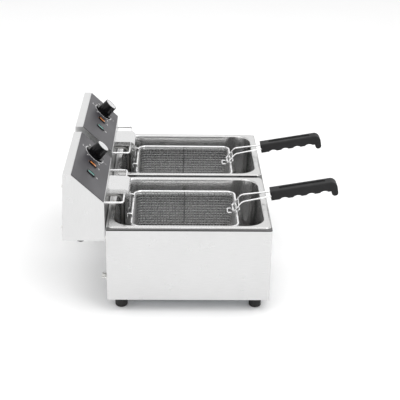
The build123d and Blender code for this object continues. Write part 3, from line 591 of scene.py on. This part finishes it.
def deselect() -> None:
    """Clears the selection, so that an operator acts on its own piece only."""
    if bpy.context.object and bpy.context.object.mode != "OBJECT":
        bpy.ops.object.mode_set(mode="OBJECT")
    bpy.ops.object.select_all(action="DESELECT")


def activate(piece: bpy.types.Object) -> None:
    """Makes a piece the only selected and active object."""
    deselect()
    piece.select_set(True)
    bpy.context.view_layer.objects.active = piece


def settle(piece: bpy.types.Object, name: str) -> None:
    """Names a piece and bakes its place into its mesh.

    Args:
        piece: The finished piece.
        name: Its name.
    """
    activate(piece)
    bpy.ops.object.transform_apply(location=True, rotation=True, scale=True)
    piece.name = name
    piece.data.name = name


def joined(pieces: list[bpy.types.Object]) -> bpy.types.Object:
    """Several meshes made one."""
    deselect()
    for piece in pieces:
        piece.select_set(True)
    bpy.context.view_layer.objects.active = pieces[0]
    bpy.ops.object.join()
    return pieces[0]


def raise_frame(width: float, height: float) -> None:
    """Turns the flat face being edited into a raised frame, and leaves edit mode.

    Args:
        width: The frame's width.
        height: Its thickness.
    """
    bpy.ops.mesh.select_all(action="SELECT")
    bpy.ops.mesh.inset(thickness=width)
    bpy.ops.mesh.delete(type="FACE")
    bpy.ops.mesh.select_all(action="SELECT")
    bpy.ops.mesh.extrude_region_move(TRANSFORM_OT_translate={"value": (0, 0, height)})
    bpy.ops.mesh.select_all(action="SELECT")
    bpy.ops.mesh.normals_make_consistent(inside=False)
    bpy.ops.object.mode_set(mode="OBJECT")


def dress(piece: bpy.types.Object, material: bpy.types.Material) -> None:
    """Gives a piece or a CAD node one material all over.

    Args:
        piece: The mesh object.
        material: Its finish.
    """
    piece.data.materials.clear()
    piece.data.materials.append(material)


def fit(piece: bpy.types.Object, side: Side, part: str, material: bpy.types.Material, body: str) -> None:
    """Settles a finished piece and gives it its finish, body and material slot.

    Args:
        piece: The finished piece.
        side: The side it is on.
        part: Its name without the side.
        material: Its finish.
        body: The body it rides on, without the side.
    """
    settle(piece, side.node(part))
    dress(piece, material)
    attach(piece, side.node(body))
    log.info("made %s with %d faces", piece.name, len(piece.data.polygons))


def dress_node(name: str, material: bpy.types.Material) -> None:
    """Puts a finish in every material slot of a CAD node.

    Args:
        name: The node.
        material: Its finish.
    """
    for place in frame["nodes"][name].material_slots:
        place.material = material
    log.info("dressed %s in %s", name, material.name)


def middle(node: str) -> Vector:
    """The centre of a CAD node's box."""
    low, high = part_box(node)
    return (low + high) / 2


def joint(name: str) -> dict:
    """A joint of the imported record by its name."""
    return next(item for item in frame["joints"] if item["name"] == name)


# ---- the woven baskets ----


Rim = list[tuple[Vector, Vector]]
Level = tuple[float, float, Vector]


@dataclass
class WovenTub:
    """The basket's tub of plain-woven wire, which stands for the CAD's thin shell."""

    side: Side
    corner: float = 15.4 * MM
    floor_round: float = 12.0 * MM
    pitch: float = 6.6 * MM
    wire: float = 0.55 * MM
    corner_wires: int = 3
    round_steps: int = 3
    square: float = 0.999
    low: Vector = field(init=False)
    high: Vector = field(init=False)

    def __post_init__(self) -> None:
        """Takes the tub's size from its CAD node, to the middle of the woven wall."""
        low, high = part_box(self.side.node("basket_mesh"))
        wall = Vector((2 * self.wire, 2 * self.wire, 2 * self.wire))
        self.low = low + wall
        self.high = high - Vector((wall.x, wall.y, self.wire))
        self.corner -= 2 * self.wire
        self.floor_round -= 2 * self.wire

    def run(self, length: float) -> int:
        """How many even spaces a straight run of the rim holds."""
        return 2 * round(length / self.pitch / 2)

    def rim(self) -> Rim:
        """Points round the tub at its wires, with their outward directions.

        Returns:
            (point, direction) pairs at Z = 0, anticlockwise from the back right corner.
        """
        centre = (self.low + self.high) / 2
        half = (self.high - self.low) / 2
        along = {0: half.y - self.corner, 1: half.x - self.corner}
        found = []
        for quarter in range(4):
            out = Vector((math.cos(quarter * math.pi / 2), math.sin(quarter * math.pi / 2), 0))
            left = Vector((-out.y, out.x, 0))
            reach = half.x if quarter % 2 == 0 else half.y
            straight = along[quarter % 2]
            spaces = self.run(2 * straight)
            for step in range(spaces + 1):
                slide = -straight + 2 * straight * step / spaces
                found.append((centre.xy.to_3d() + out * reach + left * slide, out))
            hub = centre.xy.to_3d() + out * (reach - self.corner) + left * straight
            for step in range(1, self.corner_wires + 1):
                angle = math.pi / 2 * (quarter + step / (self.corner_wires + 1))
                way = Vector((math.cos(angle), math.sin(angle), 0))
                found.append((hub + way * self.corner, way))
        return found

    def levels(self) -> list[Level]:
        """Where the rings run, from the rim down the wall and round to the floor.

        Returns:
            (height, inset, normal) with the normal as (outward share, 0, upward share).
        """
        bottom = self.low.z + self.floor_round
        rows = self.run(self.high.z - bottom)
        found = [(self.high.z + (bottom - self.high.z) * row / rows, 0.0, Vector((1, 0, 0)))
                 for row in range(rows + 1)]
        for step in range(1, self.round_steps + 1):
            angle = math.pi / 2 * step / self.round_steps
            found.append((bottom - self.floor_round * math.sin(angle),
                          self.floor_round * (1 - math.cos(angle)),
                          Vector((math.cos(angle), 0, -math.sin(angle)))))
        return found

    def crossing(self, point: tuple[Vector, Vector], level: Level, lift: float) -> Vector:
        """Where a wire passes another on the wall.

        Args:
            point: The place on the rim above it, with its outward direction.
            level: The ring's level.
            lift: How far the wire stands out from the wall's middle.

        Returns:
            The wire's centre there.
        """
        start, out = point
        height, inset, normal = level
        return (Vector((start.x, start.y, height)) - out * inset
                + (out * normal.x + Vector((0, 0, normal.z))) * lift)

    def upright(self, place: int, rim: Rim, levels: list[Level]) -> list[Vector]:
        """One wall wire from the rim to the floor, over and under the rings.

        Args:
            place: Which point of the rim it hangs from.
            rim: The rim's points.
            levels: The rings' levels.

        Returns:
            The wire's points.
        """
        return [self.crossing(rim[place], level, self.wire * (-1) ** (place + row))
                for row, level in enumerate(levels)]

    def ring(self, row: int, rim: Rim, levels: list[Level]) -> list[Vector]:
        """One closed wire round the wall, under and over the upright wires.

        Args:
            row: Which level it runs at.
            rim: The rim's points.
            levels: The rings' levels.

        Returns:
            The wire's points.
        """
        return [self.crossing(point, levels[row], -self.wire * (-1) ** (place + row))
                for place, point in enumerate(rim)]

    def bottom_wires(self, rim: Rim) -> list[list[Vector]]:
        """The floor's two sets of straight wires, woven through each other.

        Args:
            rim: The rim's points.

        Returns:
            One list of points for each wire.
        """
        across = sorted({round(start.x, 6) for start, out in rim if abs(out.y) > self.square})
        along = sorted({round(start.y, 6) for start, out in rim if abs(out.x) > self.square})
        inset = self.floor_round
        edge_x = (self.low.x + inset, self.high.x - inset)
        edge_y = (self.low.y + inset, self.high.y - inset)
        floor = self.low.z
        wires = []
        for place, x in enumerate(across):
            row = [Vector((x, y, floor + self.wire * (-1) ** (place + step)))
                   for step, y in enumerate(along)]
            wires.append([Vector((x, edge_y[0], floor)), *row, Vector((x, edge_y[1], floor))])
        for step, y in enumerate(along):
            row = [Vector((x, y, floor - self.wire * (-1) ** (place + step)))
                   for place, x in enumerate(across)]
            wires.append([Vector((edge_x[0], y, floor)), *row, Vector((edge_x[1], y, floor))])
        return wires

    def build(self, material: bpy.types.Material) -> None:
        """Weaves the tub and puts it in place of its CAD node.

        Args:
            material: The wire's finish.
        """
        rim = self.rim()
        levels = self.levels()
        cloth = bpy.data.curves.new("weave", "CURVE")
        cloth.dimensions = "3D"
        cloth.bevel_depth = self.wire
        cloth.bevel_resolution = 0
        cloth.use_fill_caps = True
        strands = [(self.upright(place, rim, levels), False) for place in range(len(rim))]
        strands += [(self.ring(row, rim, levels), True) for row in range(len(levels))]
        strands += [(points, False) for points in self.bottom_wires(rim)]
        for points, closed in strands:
            strand = cloth.splines.new("POLY")
            strand.points.add(len(points) - 1)
            for target, point in zip(strand.points, points):
                target.co = (*point, 1.0)
            strand.use_cyclic_u = closed
        piece = bpy.data.objects.new("weave", cloth)
        bpy.context.collection.objects.link(piece)
        activate(piece)
        bpy.ops.object.convert(target="MESH")
        bpy.ops.object.shade_smooth()
        tub = bpy.context.object
        fit(tub, self.side, "woven_tub", material, "basket")
        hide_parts(self.side.node("basket_mesh"))


@dataclass
class WeldBeads:
    """The resistance welds where the basket's hoops, hooks and loop meet its rim."""

    side: Side
    radius: float = 2.1 * MM
    rim_gap: float = 2.6 * MM
    rim_drop: float = 5.5 * MM
    long_hoops: float = 22 * MM
    hooks: float = 50 * MM
    rest: float = 26 * MM
    unevenness: float = 0.16
    tallness: float = 1.25

    def places(self) -> list[Vector]:
        """Where the beads sit, on the rim's centre line.

        Returns:
            The beads' centres.
        """
        low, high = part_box(self.side.node("basket_mesh"))
        centre = (low + high) / 2
        top = high.z
        half = (high - low) / 2 + Vector((self.rim_gap, self.rim_gap, 0))
        front = centre.y - half.y
        back = centre.y + half.y
        found = []
        for sign in (-1, 1):
            hoops = [(centre.x + sign * half.x, centre.y)]
            hoops += [(centre.x + sign * self.long_hoops, y) for y in (front, back)]
            found += [Vector((x, y, top - drop)) for x, y in hoops for drop in (0, self.rim_drop)]
            found.append(Vector((centre.x + sign * self.hooks, back, top)))
            found.append(Vector((centre.x + sign * self.rest, front, top)))
        return found

    def build(self, material: bpy.types.Material) -> None:
        """Makes the beads as one piece.

        Args:
            material: Their finish.
        """
        beads = []
        for number, place in enumerate(self.places()):
            deselect()
            bpy.ops.mesh.primitive_ico_sphere_add(subdivisions=2, radius=self.radius, location=place)
            bead = bpy.context.object
            bpy.ops.object.mode_set(mode="EDIT")
            bpy.ops.mesh.select_all(action="SELECT")
            bpy.ops.transform.vertex_random(offset=self.radius * self.unevenness, seed=number)
            bpy.ops.transform.resize(value=(1.0, 1.0, self.tallness))
            bpy.ops.object.mode_set(mode="OBJECT")
            beads.append(bead)
        cluster = joined(beads)
        bpy.ops.object.shade_smooth()
        fit(cluster, self.side, "weld_beads", material, "basket")


# ---- the printed control face ----


@dataclass
class ControlFace:
    """What is printed on a head's sloping panel, and the index on its knob."""

    side: Side
    ring_radius: float = 25.0 * MM
    ring_width: float = 1.1 * MM
    ink: float = 0.12 * MM
    panel: float = 0.8 * MM
    tick_length: float = 3.2 * MM
    tick_width: float = 0.9 * MM
    short_tick: float = 0.6
    bar_ease: float = 0.3
    ring_points: int = 96
    number_radius: float = 32.5 * MM
    number_size: float = 5.2 * MM
    numbers: tuple[str, ...] = ("0", "60", "90", "120", "150", "180")
    bezel_width: float = 14.8 * MM
    bezel_length: float = 21.8 * MM
    bezel_rim: float = 3.0 * MM
    bezel_corner: float = 5.2 * MM
    bezel_height: float = 2.1 * MM
    bezel_ease: float = 0.3 * MM
    mark_drop: float = 17 * MM
    heat_bar: float = 0.8 * MM
    heat_pitch: float = 2.2 * MM
    heat_heights: tuple[float, ...] = (3.4 * MM, 4.6 * MM, 3.4 * MM)
    power_ring: float = 2.4 * MM
    power_line: float = 0.7 * MM
    power_stem: float = 2.6 * MM
    power_rise: float = 1.6 * MM
    index_width: float = 1.5 * MM
    index_length: float = 4.6 * MM
    index_reach: float = 19.4 * MM
    index_sink: float = 0.6 * MM
    knob_clear: float = 0.8 * MM
    knob_skirt: float = 3.5 * MM
    first_angle: float = -90.0
    sweep: float = 300.0
    origin: Vector = field(init=False)
    out: Vector = field(init=False)
    up: Vector = field(init=False)

    def __post_init__(self) -> None:
        """Takes the panel's plane from the knob's joint."""
        turn = joint(self.side.node("knob_turn"))
        self.out = -Vector(turn["axis"]).normalized()
        self.up = self.out.cross(Vector((1, 0, 0)))
        self.origin = Vector(turn["pos_m"]) + self.out * self.panel

    def matrix(self, across: float, above: float, turn: float = 0.0, lift: float = 0.0) -> Matrix:
        """A place on the panel.

        Args:
            across: How far along X from the knob's axis.
            above: How far up the slope from the knob's axis.
            turn: An anticlockwise turn in the panel, in degrees.
            lift: How far above the panel's face.

        Returns:
            The matrix from local to the frame.
        """
        place = self.origin + Vector((1, 0, 0)) * across + self.up * above + self.out * lift
        turned = Matrix((Vector((1, 0, 0)), self.up, self.out)).transposed().to_4x4()
        return Matrix.Translation(place) @ turned @ Matrix.Rotation(math.radians(turn), 4, "Z")

    def bar(self, width: float, height: float, place: Matrix) -> bpy.types.Object:
        """A thin printed bar with eased corners.

        Args:
            width: Its size along local X.
            height: Its size along local Y.
            place: Where it lies.

        Returns:
            The bar.
        """
        deselect()
        bpy.ops.mesh.primitive_cube_add(size=1.0)
        piece = bpy.context.object
        piece.data.transform(Matrix.Diagonal((width, height, self.ink, 1.0)))
        bevel = piece.modifiers.new("ease", "BEVEL")
        bevel.width = min(width, height) * self.bar_ease
        bevel.segments = 3
        bevel.affect = "EDGES"
        bevel.limit_method = "ANGLE"
        bpy.ops.object.modifier_apply(modifier=bevel.name)
        piece.matrix_world = place @ Matrix.Translation((0, 0, self.ink / 2))
        return piece

    def ring(self, radius: float, width: float, place: Matrix) -> bpy.types.Object:
        """A flat printed ring, inset from a disc and given its thickness.

        Args:
            radius: Its outer radius.
            width: Its width.
            place: Where it lies.

        Returns:
            The ring.
        """
        deselect()
        bpy.ops.mesh.primitive_circle_add(vertices=self.ring_points, radius=radius, fill_type="NGON")
        piece = bpy.context.object
        bpy.ops.object.mode_set(mode="EDIT")
        raise_frame(width, self.ink)
        piece.matrix_world = place
        return piece

    def word(self, text: str, size: float, place: Matrix) -> bpy.types.Object:
        """A number as a thin solid.

        Args:
            text: The digits.
            size: Their height.
            place: Where their middle lies.

        Returns:
            The number's mesh.
        """
        deselect()
        bpy.ops.object.text_add()
        piece = bpy.context.object
        piece.data.body = text
        piece.data.size = size
        piece.data.extrude = self.ink / 2
        piece.data.resolution_u = 3
        piece.data.align_x = "CENTER"
        piece.data.align_y = "CENTER"
        bpy.ops.object.convert(target="MESH")
        piece = bpy.context.object
        piece.matrix_world = place @ Matrix.Translation((0, 0, self.ink / 2))
        return piece

    def dial(self) -> list[bpy.types.Object]:
        """The ring, ticks and numbers round the knob.

        Returns:
            The loose pieces.
        """
        made = []
        steps = len(self.numbers) - 1
        for step in range(2 * steps + 1):
            angle = math.radians(self.first_angle - self.sweep * step / (2 * steps))
            long = step % 2 == 0
            length = self.tick_length if long else self.tick_length * self.short_tick
            reach = self.ring_radius + length / 2
            place = self.matrix(reach * math.cos(angle), reach * math.sin(angle), math.degrees(angle))
            made.append(self.bar(length, self.tick_width, place))
            if long:
                where = self.matrix(self.number_radius * math.cos(angle),
                                    self.number_radius * math.sin(angle))
                made.append(self.word(self.numbers[step // 2], self.number_size, where))
        return made

    def lamp_marks(self) -> list[bpy.types.Object]:
        """A small sign beside each lamp: a ring for power and a wave of bars for heat.

        Returns:
            The loose pieces.
        """
        made = []
        for lamp in ("lamp_amber", "lamp_green"):
            offset = middle(self.side.node(lamp)) - self.origin
            across = offset.x
            low = self.lamp_row() - self.mark_drop
            if lamp == "lamp_amber":
                made += [self.bar(self.heat_bar, height, self.matrix(across + step * self.heat_pitch, low))
                         for step, height in zip((-1, 0, 1), self.heat_heights)]
            else:
                made.append(self.ring(self.power_ring, self.power_line, self.matrix(across, low)))
                made.append(self.bar(self.power_line, self.power_stem,
                                     self.matrix(across, low + self.power_rise)))
        return made

    def index(self) -> bpy.types.Object:
        """The white line laid in the notch of the knob's skirt."""
        lift = self.knob_clear + self.knob_skirt - self.index_sink
        return self.bar(self.index_width, self.index_length, self.matrix(0, -self.index_reach, 0, lift))

    def bezel(self, lamp: str) -> bpy.types.Object:
        """A raised frame with eased corners round a lamp's lens.

        Args:
            lamp: The lamp's part name.

        Returns:
            The frame.
        """
        offset = middle(self.side.node(lamp)) - self.origin
        deselect()
        bpy.ops.mesh.primitive_plane_add(size=1.0)
        piece = bpy.context.object
        piece.data.transform(Matrix.Diagonal((self.bezel_width, self.bezel_length, 1.0, 1.0)))
        bpy.ops.object.mode_set(mode="EDIT")
        bpy.ops.mesh.select_all(action="SELECT")
        bpy.ops.mesh.bevel(offset=self.bezel_corner, segments=6, affect="VERTICES")
        raise_frame(self.bezel_rim, self.bezel_height)
        ease = piece.modifiers.new("ease", "BEVEL")
        ease.width = self.bezel_ease
        ease.segments = 2
        ease.limit_method = "ANGLE"
        bpy.ops.object.modifier_apply(modifier=ease.name)
        piece.matrix_world = self.matrix(offset.x, self.lamp_row())
        return piece

    def lamp_row(self) -> float:
        """How far up the slope from the knob's axis the lamps' lenses stand."""
        low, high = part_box(self.side.node("lamp_green"))
        return (Vector((0, low.y, high.z)) - Vector((0, self.origin.y, self.origin.z))).dot(self.up)

    def build(self, ink: bpy.types.Material, ring: bpy.types.Material,
              black: bpy.types.Material) -> None:
        """Prints the face and the knob's index, and fits the trim.

        Args:
            ink: The ink's finish.
            ring: The trim ring's finish, a flat white that is a painted highlight for its bright metal.
            black: The bezels' finish.
        """
        # The trim ring's white finish is a painted highlight.
        trim = self.ring(self.ring_radius, self.ring_width, self.matrix(0, 0))
        fit(trim, self.side, "dial_ring", ring, "head")
        bezels = joined([self.bezel("lamp_amber"), self.bezel("lamp_green")])
        fit(bezels, self.side, "lamp_bezels", black, "head")
        face = joined(self.dial() + self.lamp_marks())
        fit(face, self.side, "panel_print", ink, "head")
        fit(self.index(), self.side, "knob_index", ink, "knob")


# ---- finishes of the CAD nodes ----


@dataclass
class SideFinishes:
    """Dresses one side's nodes."""

    side: Side
    shared: dict[str, bpy.types.Material]

    def dress(self) -> None:
        """Gives every node of the side its finish."""
        table = {
            "oil_pan": "pan_steel", "head_case": "head_steel", "head_cover": "cover_steel",
            "control_panel": "panel_face", "lamp_amber": "amber", "lamp_green": "green",
            "thermostat": "dark_moulding", "thermostat_shaft": "plated", "knob": "knob_black",
            "thermal_cutout": "dark_moulding", "reset_button": "red_button",
            "terminal_block": "pale_moulding", "safety_switch": "dark_moulding",
            "cable_gland": "dark_moulding", "head_screws": "plated", "heating_element": "element",
            "element_guard": "guard_steel", "sensor_bulb": "copper", "basket_hanger": "bright_wire",
            "basket_frame": "bright_wire", "handle_wires": "bright_wire", "handle_grip": "grip",
            "basket_mesh": "mesh_wire",
        }
        for part, finish in table.items():
            dress_node(self.side.node(part), self.shared[finish])
        turn = joint(self.side.node("knob_turn"))
        out = -Vector(turn["axis"]).normalized()
        face = SpunFace(self.side.node("spun_cap"), tuple(middle(self.side.node("knob_cap"))),
                        math.atan2(-out.y, out.z))
        dress_node(self.side.node("knob_cap"), face.material())


def shared_finishes() -> dict[str, bpy.types.Material]:
    """Makes the finishes that nodes on both sides or in the casing share.

    Returns:
        Materials by the names that the tables use.
    """
    low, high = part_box(Side.LEFT.node("heating_element"))
    finishes = {
        # The casing's steel has a painted shadow line just under its top, where the pans' flanges sit on
        # it.
        "casing_steel": BrushedSteel("casing_steel", grey(0.66), 0.30, Grain.ALONG_Y,
                                     shadow_top=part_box("casing_shell")[1].z),
        "panel_steel": BrushedSteel("back_panel_steel", grey(0.66), 0.34, Grain.ALONG_X),
        "head_steel": BrushedSteel("head_steel", grey(0.66), 0.30, Grain.ALONG_Z),
        "cover_steel": BrushedSteel("cover_steel", grey(0.66), 0.34, Grain.ALONG_X),
        "guard_steel": BrushedSteel("guard_steel", grey(0.66), 0.13, Grain.ALONG_Y),
        "bracket_steel": BrushedSteel("bracket_steel", grey(0.6), 0.36, Grain.ALONG_X),
        "pan_steel": DrawnSteel("pan_steel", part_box(Side.LEFT.node("oil_pan"))[1].z),
        "galvanised": Galvanised("galvanised"),
        "plated": PlatedWire("plated_screws", (0.74, 0.74, 0.72), 0.22),
        "bright_wire": PlatedWire("bright_wire", grey(0.84), 0.14),
        # The mesh wire is darker in a narrow band across the basket's middle.
        "mesh_wire": PlatedWire("mesh_wire", grey(0.62), 0.26,
                                dark_band_at=middle(Side.LEFT.node("basket_mesh")).y),
        "weld": PlatedWire("weld_metal", (0.62, 0.60, 0.57), 0.34),
        "copper": PlatedWire("bulb_copper", (0.72, 0.44, 0.30), 0.30),
        "element": HeatedTube("element_sheath", low.z, high.z),
        "rubber": Moulded("foot_rubber", grey(0.018), 0.62, 1200),
        "grip": Moulded("grip_moulding", (0.014, 0.014, 0.0145), 0.55, 1500, 0.00006, gloss=0.22),
        "knob_black": Moulded("knob_moulding", (0.003, 0.003, 0.0035), 0.10, 2200, 0.000001, gloss=0.18),
        "dark_moulding": Moulded("dark_moulding", (0.04, 0.04, 0.042), 0.5, 1400),
        "pale_moulding": Moulded("pale_moulding", (0.72, 0.72, 0.68), 0.5, 1400),
        "red_button": Moulded("red_button", (0.55, 0.03, 0.02), 0.3, 2000, 0.00002, 0.4),
        "amber": LampLens("amber_lens", (0.60, 0.22, 0.07)),
        "green": LampLens("green_lens", (0.02, 0.20, 0.17)),
        "panel_face": PrintedFace("panel_face"),
        "white_ink": Ink("white_ink", grey(0.78)),
        # The dial's trim ring is painted flat white: a painted highlight standing in for its bright metal.
        "trim_ring_highlight": Ink("trim_ring_highlight", grey(0.92)),
    }
    return {name: finish.material() for name, finish in finishes.items()}


def dress_casing(shared: dict[str, bpy.types.Material]) -> None:
    """Dresses the nodes that both sides share.

    Args:
        shared: The finishes by name.
    """
    table = {
        "casing_shell": "casing_steel", "back_panel": "panel_steel", "base_plate": "galvanised",
        "centre_divider": "galvanised", "feet": "rubber", "foot_screws": "plated",
        "casing_screws": "plated", "support_brackets": "bracket_steel", "bonding_terminal": "plated",
    }
    for part, finish in table.items():
        dress_node(part, shared[finish])


# ---- the studio ----


@dataclass(frozen=True)
class SoftBox:
    """One area light: a square, or a strip where it has a height."""

    name: str
    place: Point
    size: float
    power: float
    target: Point = (0, 0, 0.1)
    height: float = 0.0

    def hang(self) -> None:
        """Hangs the light and points it at its target."""
        data = bpy.data.lights.new(self.name, "AREA")
        data.shape = "RECTANGLE" if self.height else "SQUARE"
        data.size = self.size
        data.size_y = self.height or self.size
        data.energy = self.power
        lamp = bpy.data.objects.new(self.name, data)
        bpy.context.collection.objects.link(lamp)
        lamp.location = self.place
        lamp.rotation_mode = "QUATERNION"
        lamp.rotation_quaternion = (Vector(self.target) - Vector(self.place)).to_track_quat("-Z", "Y")


@dataclass
class Studio:
    """A pale floor, soft lights and the camera."""

    camera_x: float = -2.0629
    camera_past_front: float = 0.19854
    camera_z: float = 1.0715
    heading: float = -1.576
    pitch: float = 24.448
    roll: float = 0.990
    lens: float = 88.36
    sensor: float = 36.0
    sight: float = 100.0
    floor_size: float = 30.0
    floor_light: float = 0.93
    sky_light: float = 1.16
    sky: tuple[tuple[float, float], ...] = (
        (0.0, 1.0), (0.30, 1.0), (0.52, 1.05), (0.75, 0.55), (1.0, 0.45))
    lights: tuple[SoftBox, ...] = (
        SoftBox("strip", (-1.5, -0.9, 1.5), 0.12, 2.4, (0, 0.2, 0.28), 1.2),
        SoftBox("key", (-1.2, -1.6, 2.8), 2.2, 22),
        SoftBox("fill", (-1.6, 1.9, 2.4), 2.2, 12),
        SoftBox("top", (0.2, 0.0, 3.0), 2.6, 34),
    )

    def floor(self) -> None:
        """Lays the floor under the object's feet."""
        deselect()
        bpy.ops.mesh.primitive_plane_add(size=self.floor_size)
        ground = bpy.context.object
        ground.name = "floor"
        graph = Graph("floor_paper")
        cloud = graph.noise(3, 3)
        pale = grey(self.floor_light)
        graph.colour(graph.tint(cloud, [(0.3, shade(pale, 0.99)), (0.7, pale)]))
        graph.set(Roughness=0.8, Specular_IOR_Level=0.1)
        dress(ground, graph.material)

    def world(self) -> None:
        """Sets a world that is bright round the horizon and dimmer overhead."""
        world = bpy.data.worlds.new("studio")
        bpy.context.scene.world = world
        world.use_nodes = True
        tree = world.node_tree
        tree.nodes.clear()
        kinds = ("OutputWorld", "Background", "ValToRGB", "SeparateXYZ", "TexCoord")
        output, background, ramp, split, place = (tree.nodes.new(f"ShaderNode{kind}") for kind in kinds)
        tree.links.new(place.outputs["Generated"], split.inputs[0])
        tree.links.new(split.outputs["Z"], ramp.inputs["Fac"])
        tree.links.new(ramp.outputs["Color"], background.inputs["Color"])
        tree.links.new(background.outputs[0], output.inputs[0])
        fill_ramp(ramp.color_ramp, [(height, grey(value)) for height, value in self.sky])
        background.inputs["Strength"].default_value = self.sky_light

    def camera(self) -> None:
        """Places the camera by its heading, pitch and roll."""
        heading, pitch, roll = (math.radians(value) for value in (self.heading, self.pitch, self.roll))
        ahead = Vector((math.cos(pitch) * math.cos(heading), math.cos(pitch) * math.sin(heading),
                        -math.sin(pitch)))
        right = ahead.cross(Vector((0, 0, 1))).normalized()
        up = right.cross(ahead)
        level = math.cos(roll) * right + math.sin(roll) * up
        top = -math.sin(roll) * right + math.cos(roll) * up
        data = bpy.data.cameras.new("camera")
        data.lens = self.lens
        data.sensor_width = self.sensor
        data.clip_end = self.sight
        camera = bpy.data.objects.new("camera", data)
        bpy.context.collection.objects.link(camera)
        turn = Matrix((level, top, -ahead)).transposed().to_4x4()
        place = (self.camera_x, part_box("casing_shell")[0].y + self.camera_past_front, self.camera_z)
        camera.matrix_world = Matrix.Translation(place) @ turn
        bpy.context.scene.camera = camera

    def build(self) -> None:
        """Sets up the whole studio."""
        self.camera()
        self.world()
        self.floor()
        for box in self.lights:
            box.hang()
        settings = bpy.context.scene.view_settings
        settings.view_transform = "Standard"
        settings.look = "None"
        settings.exposure = 0.0


def main() -> None:
    """Builds the studio, the finishes and the pieces, and reports each."""
    Studio().build()
    shared = shared_finishes()
    dress_casing(shared)
    for side in Side:
        SideFinishes(side, shared).dress()
        WovenTub(side).build(shared["mesh_wire"])
        WeldBeads(side).build(shared["weld"])
        ControlFace(side).build(shared["white_ink"], shared["trim_ring_highlight"], shared["knob_black"])
    deselect()


if __name__ == "__main__":
    main()
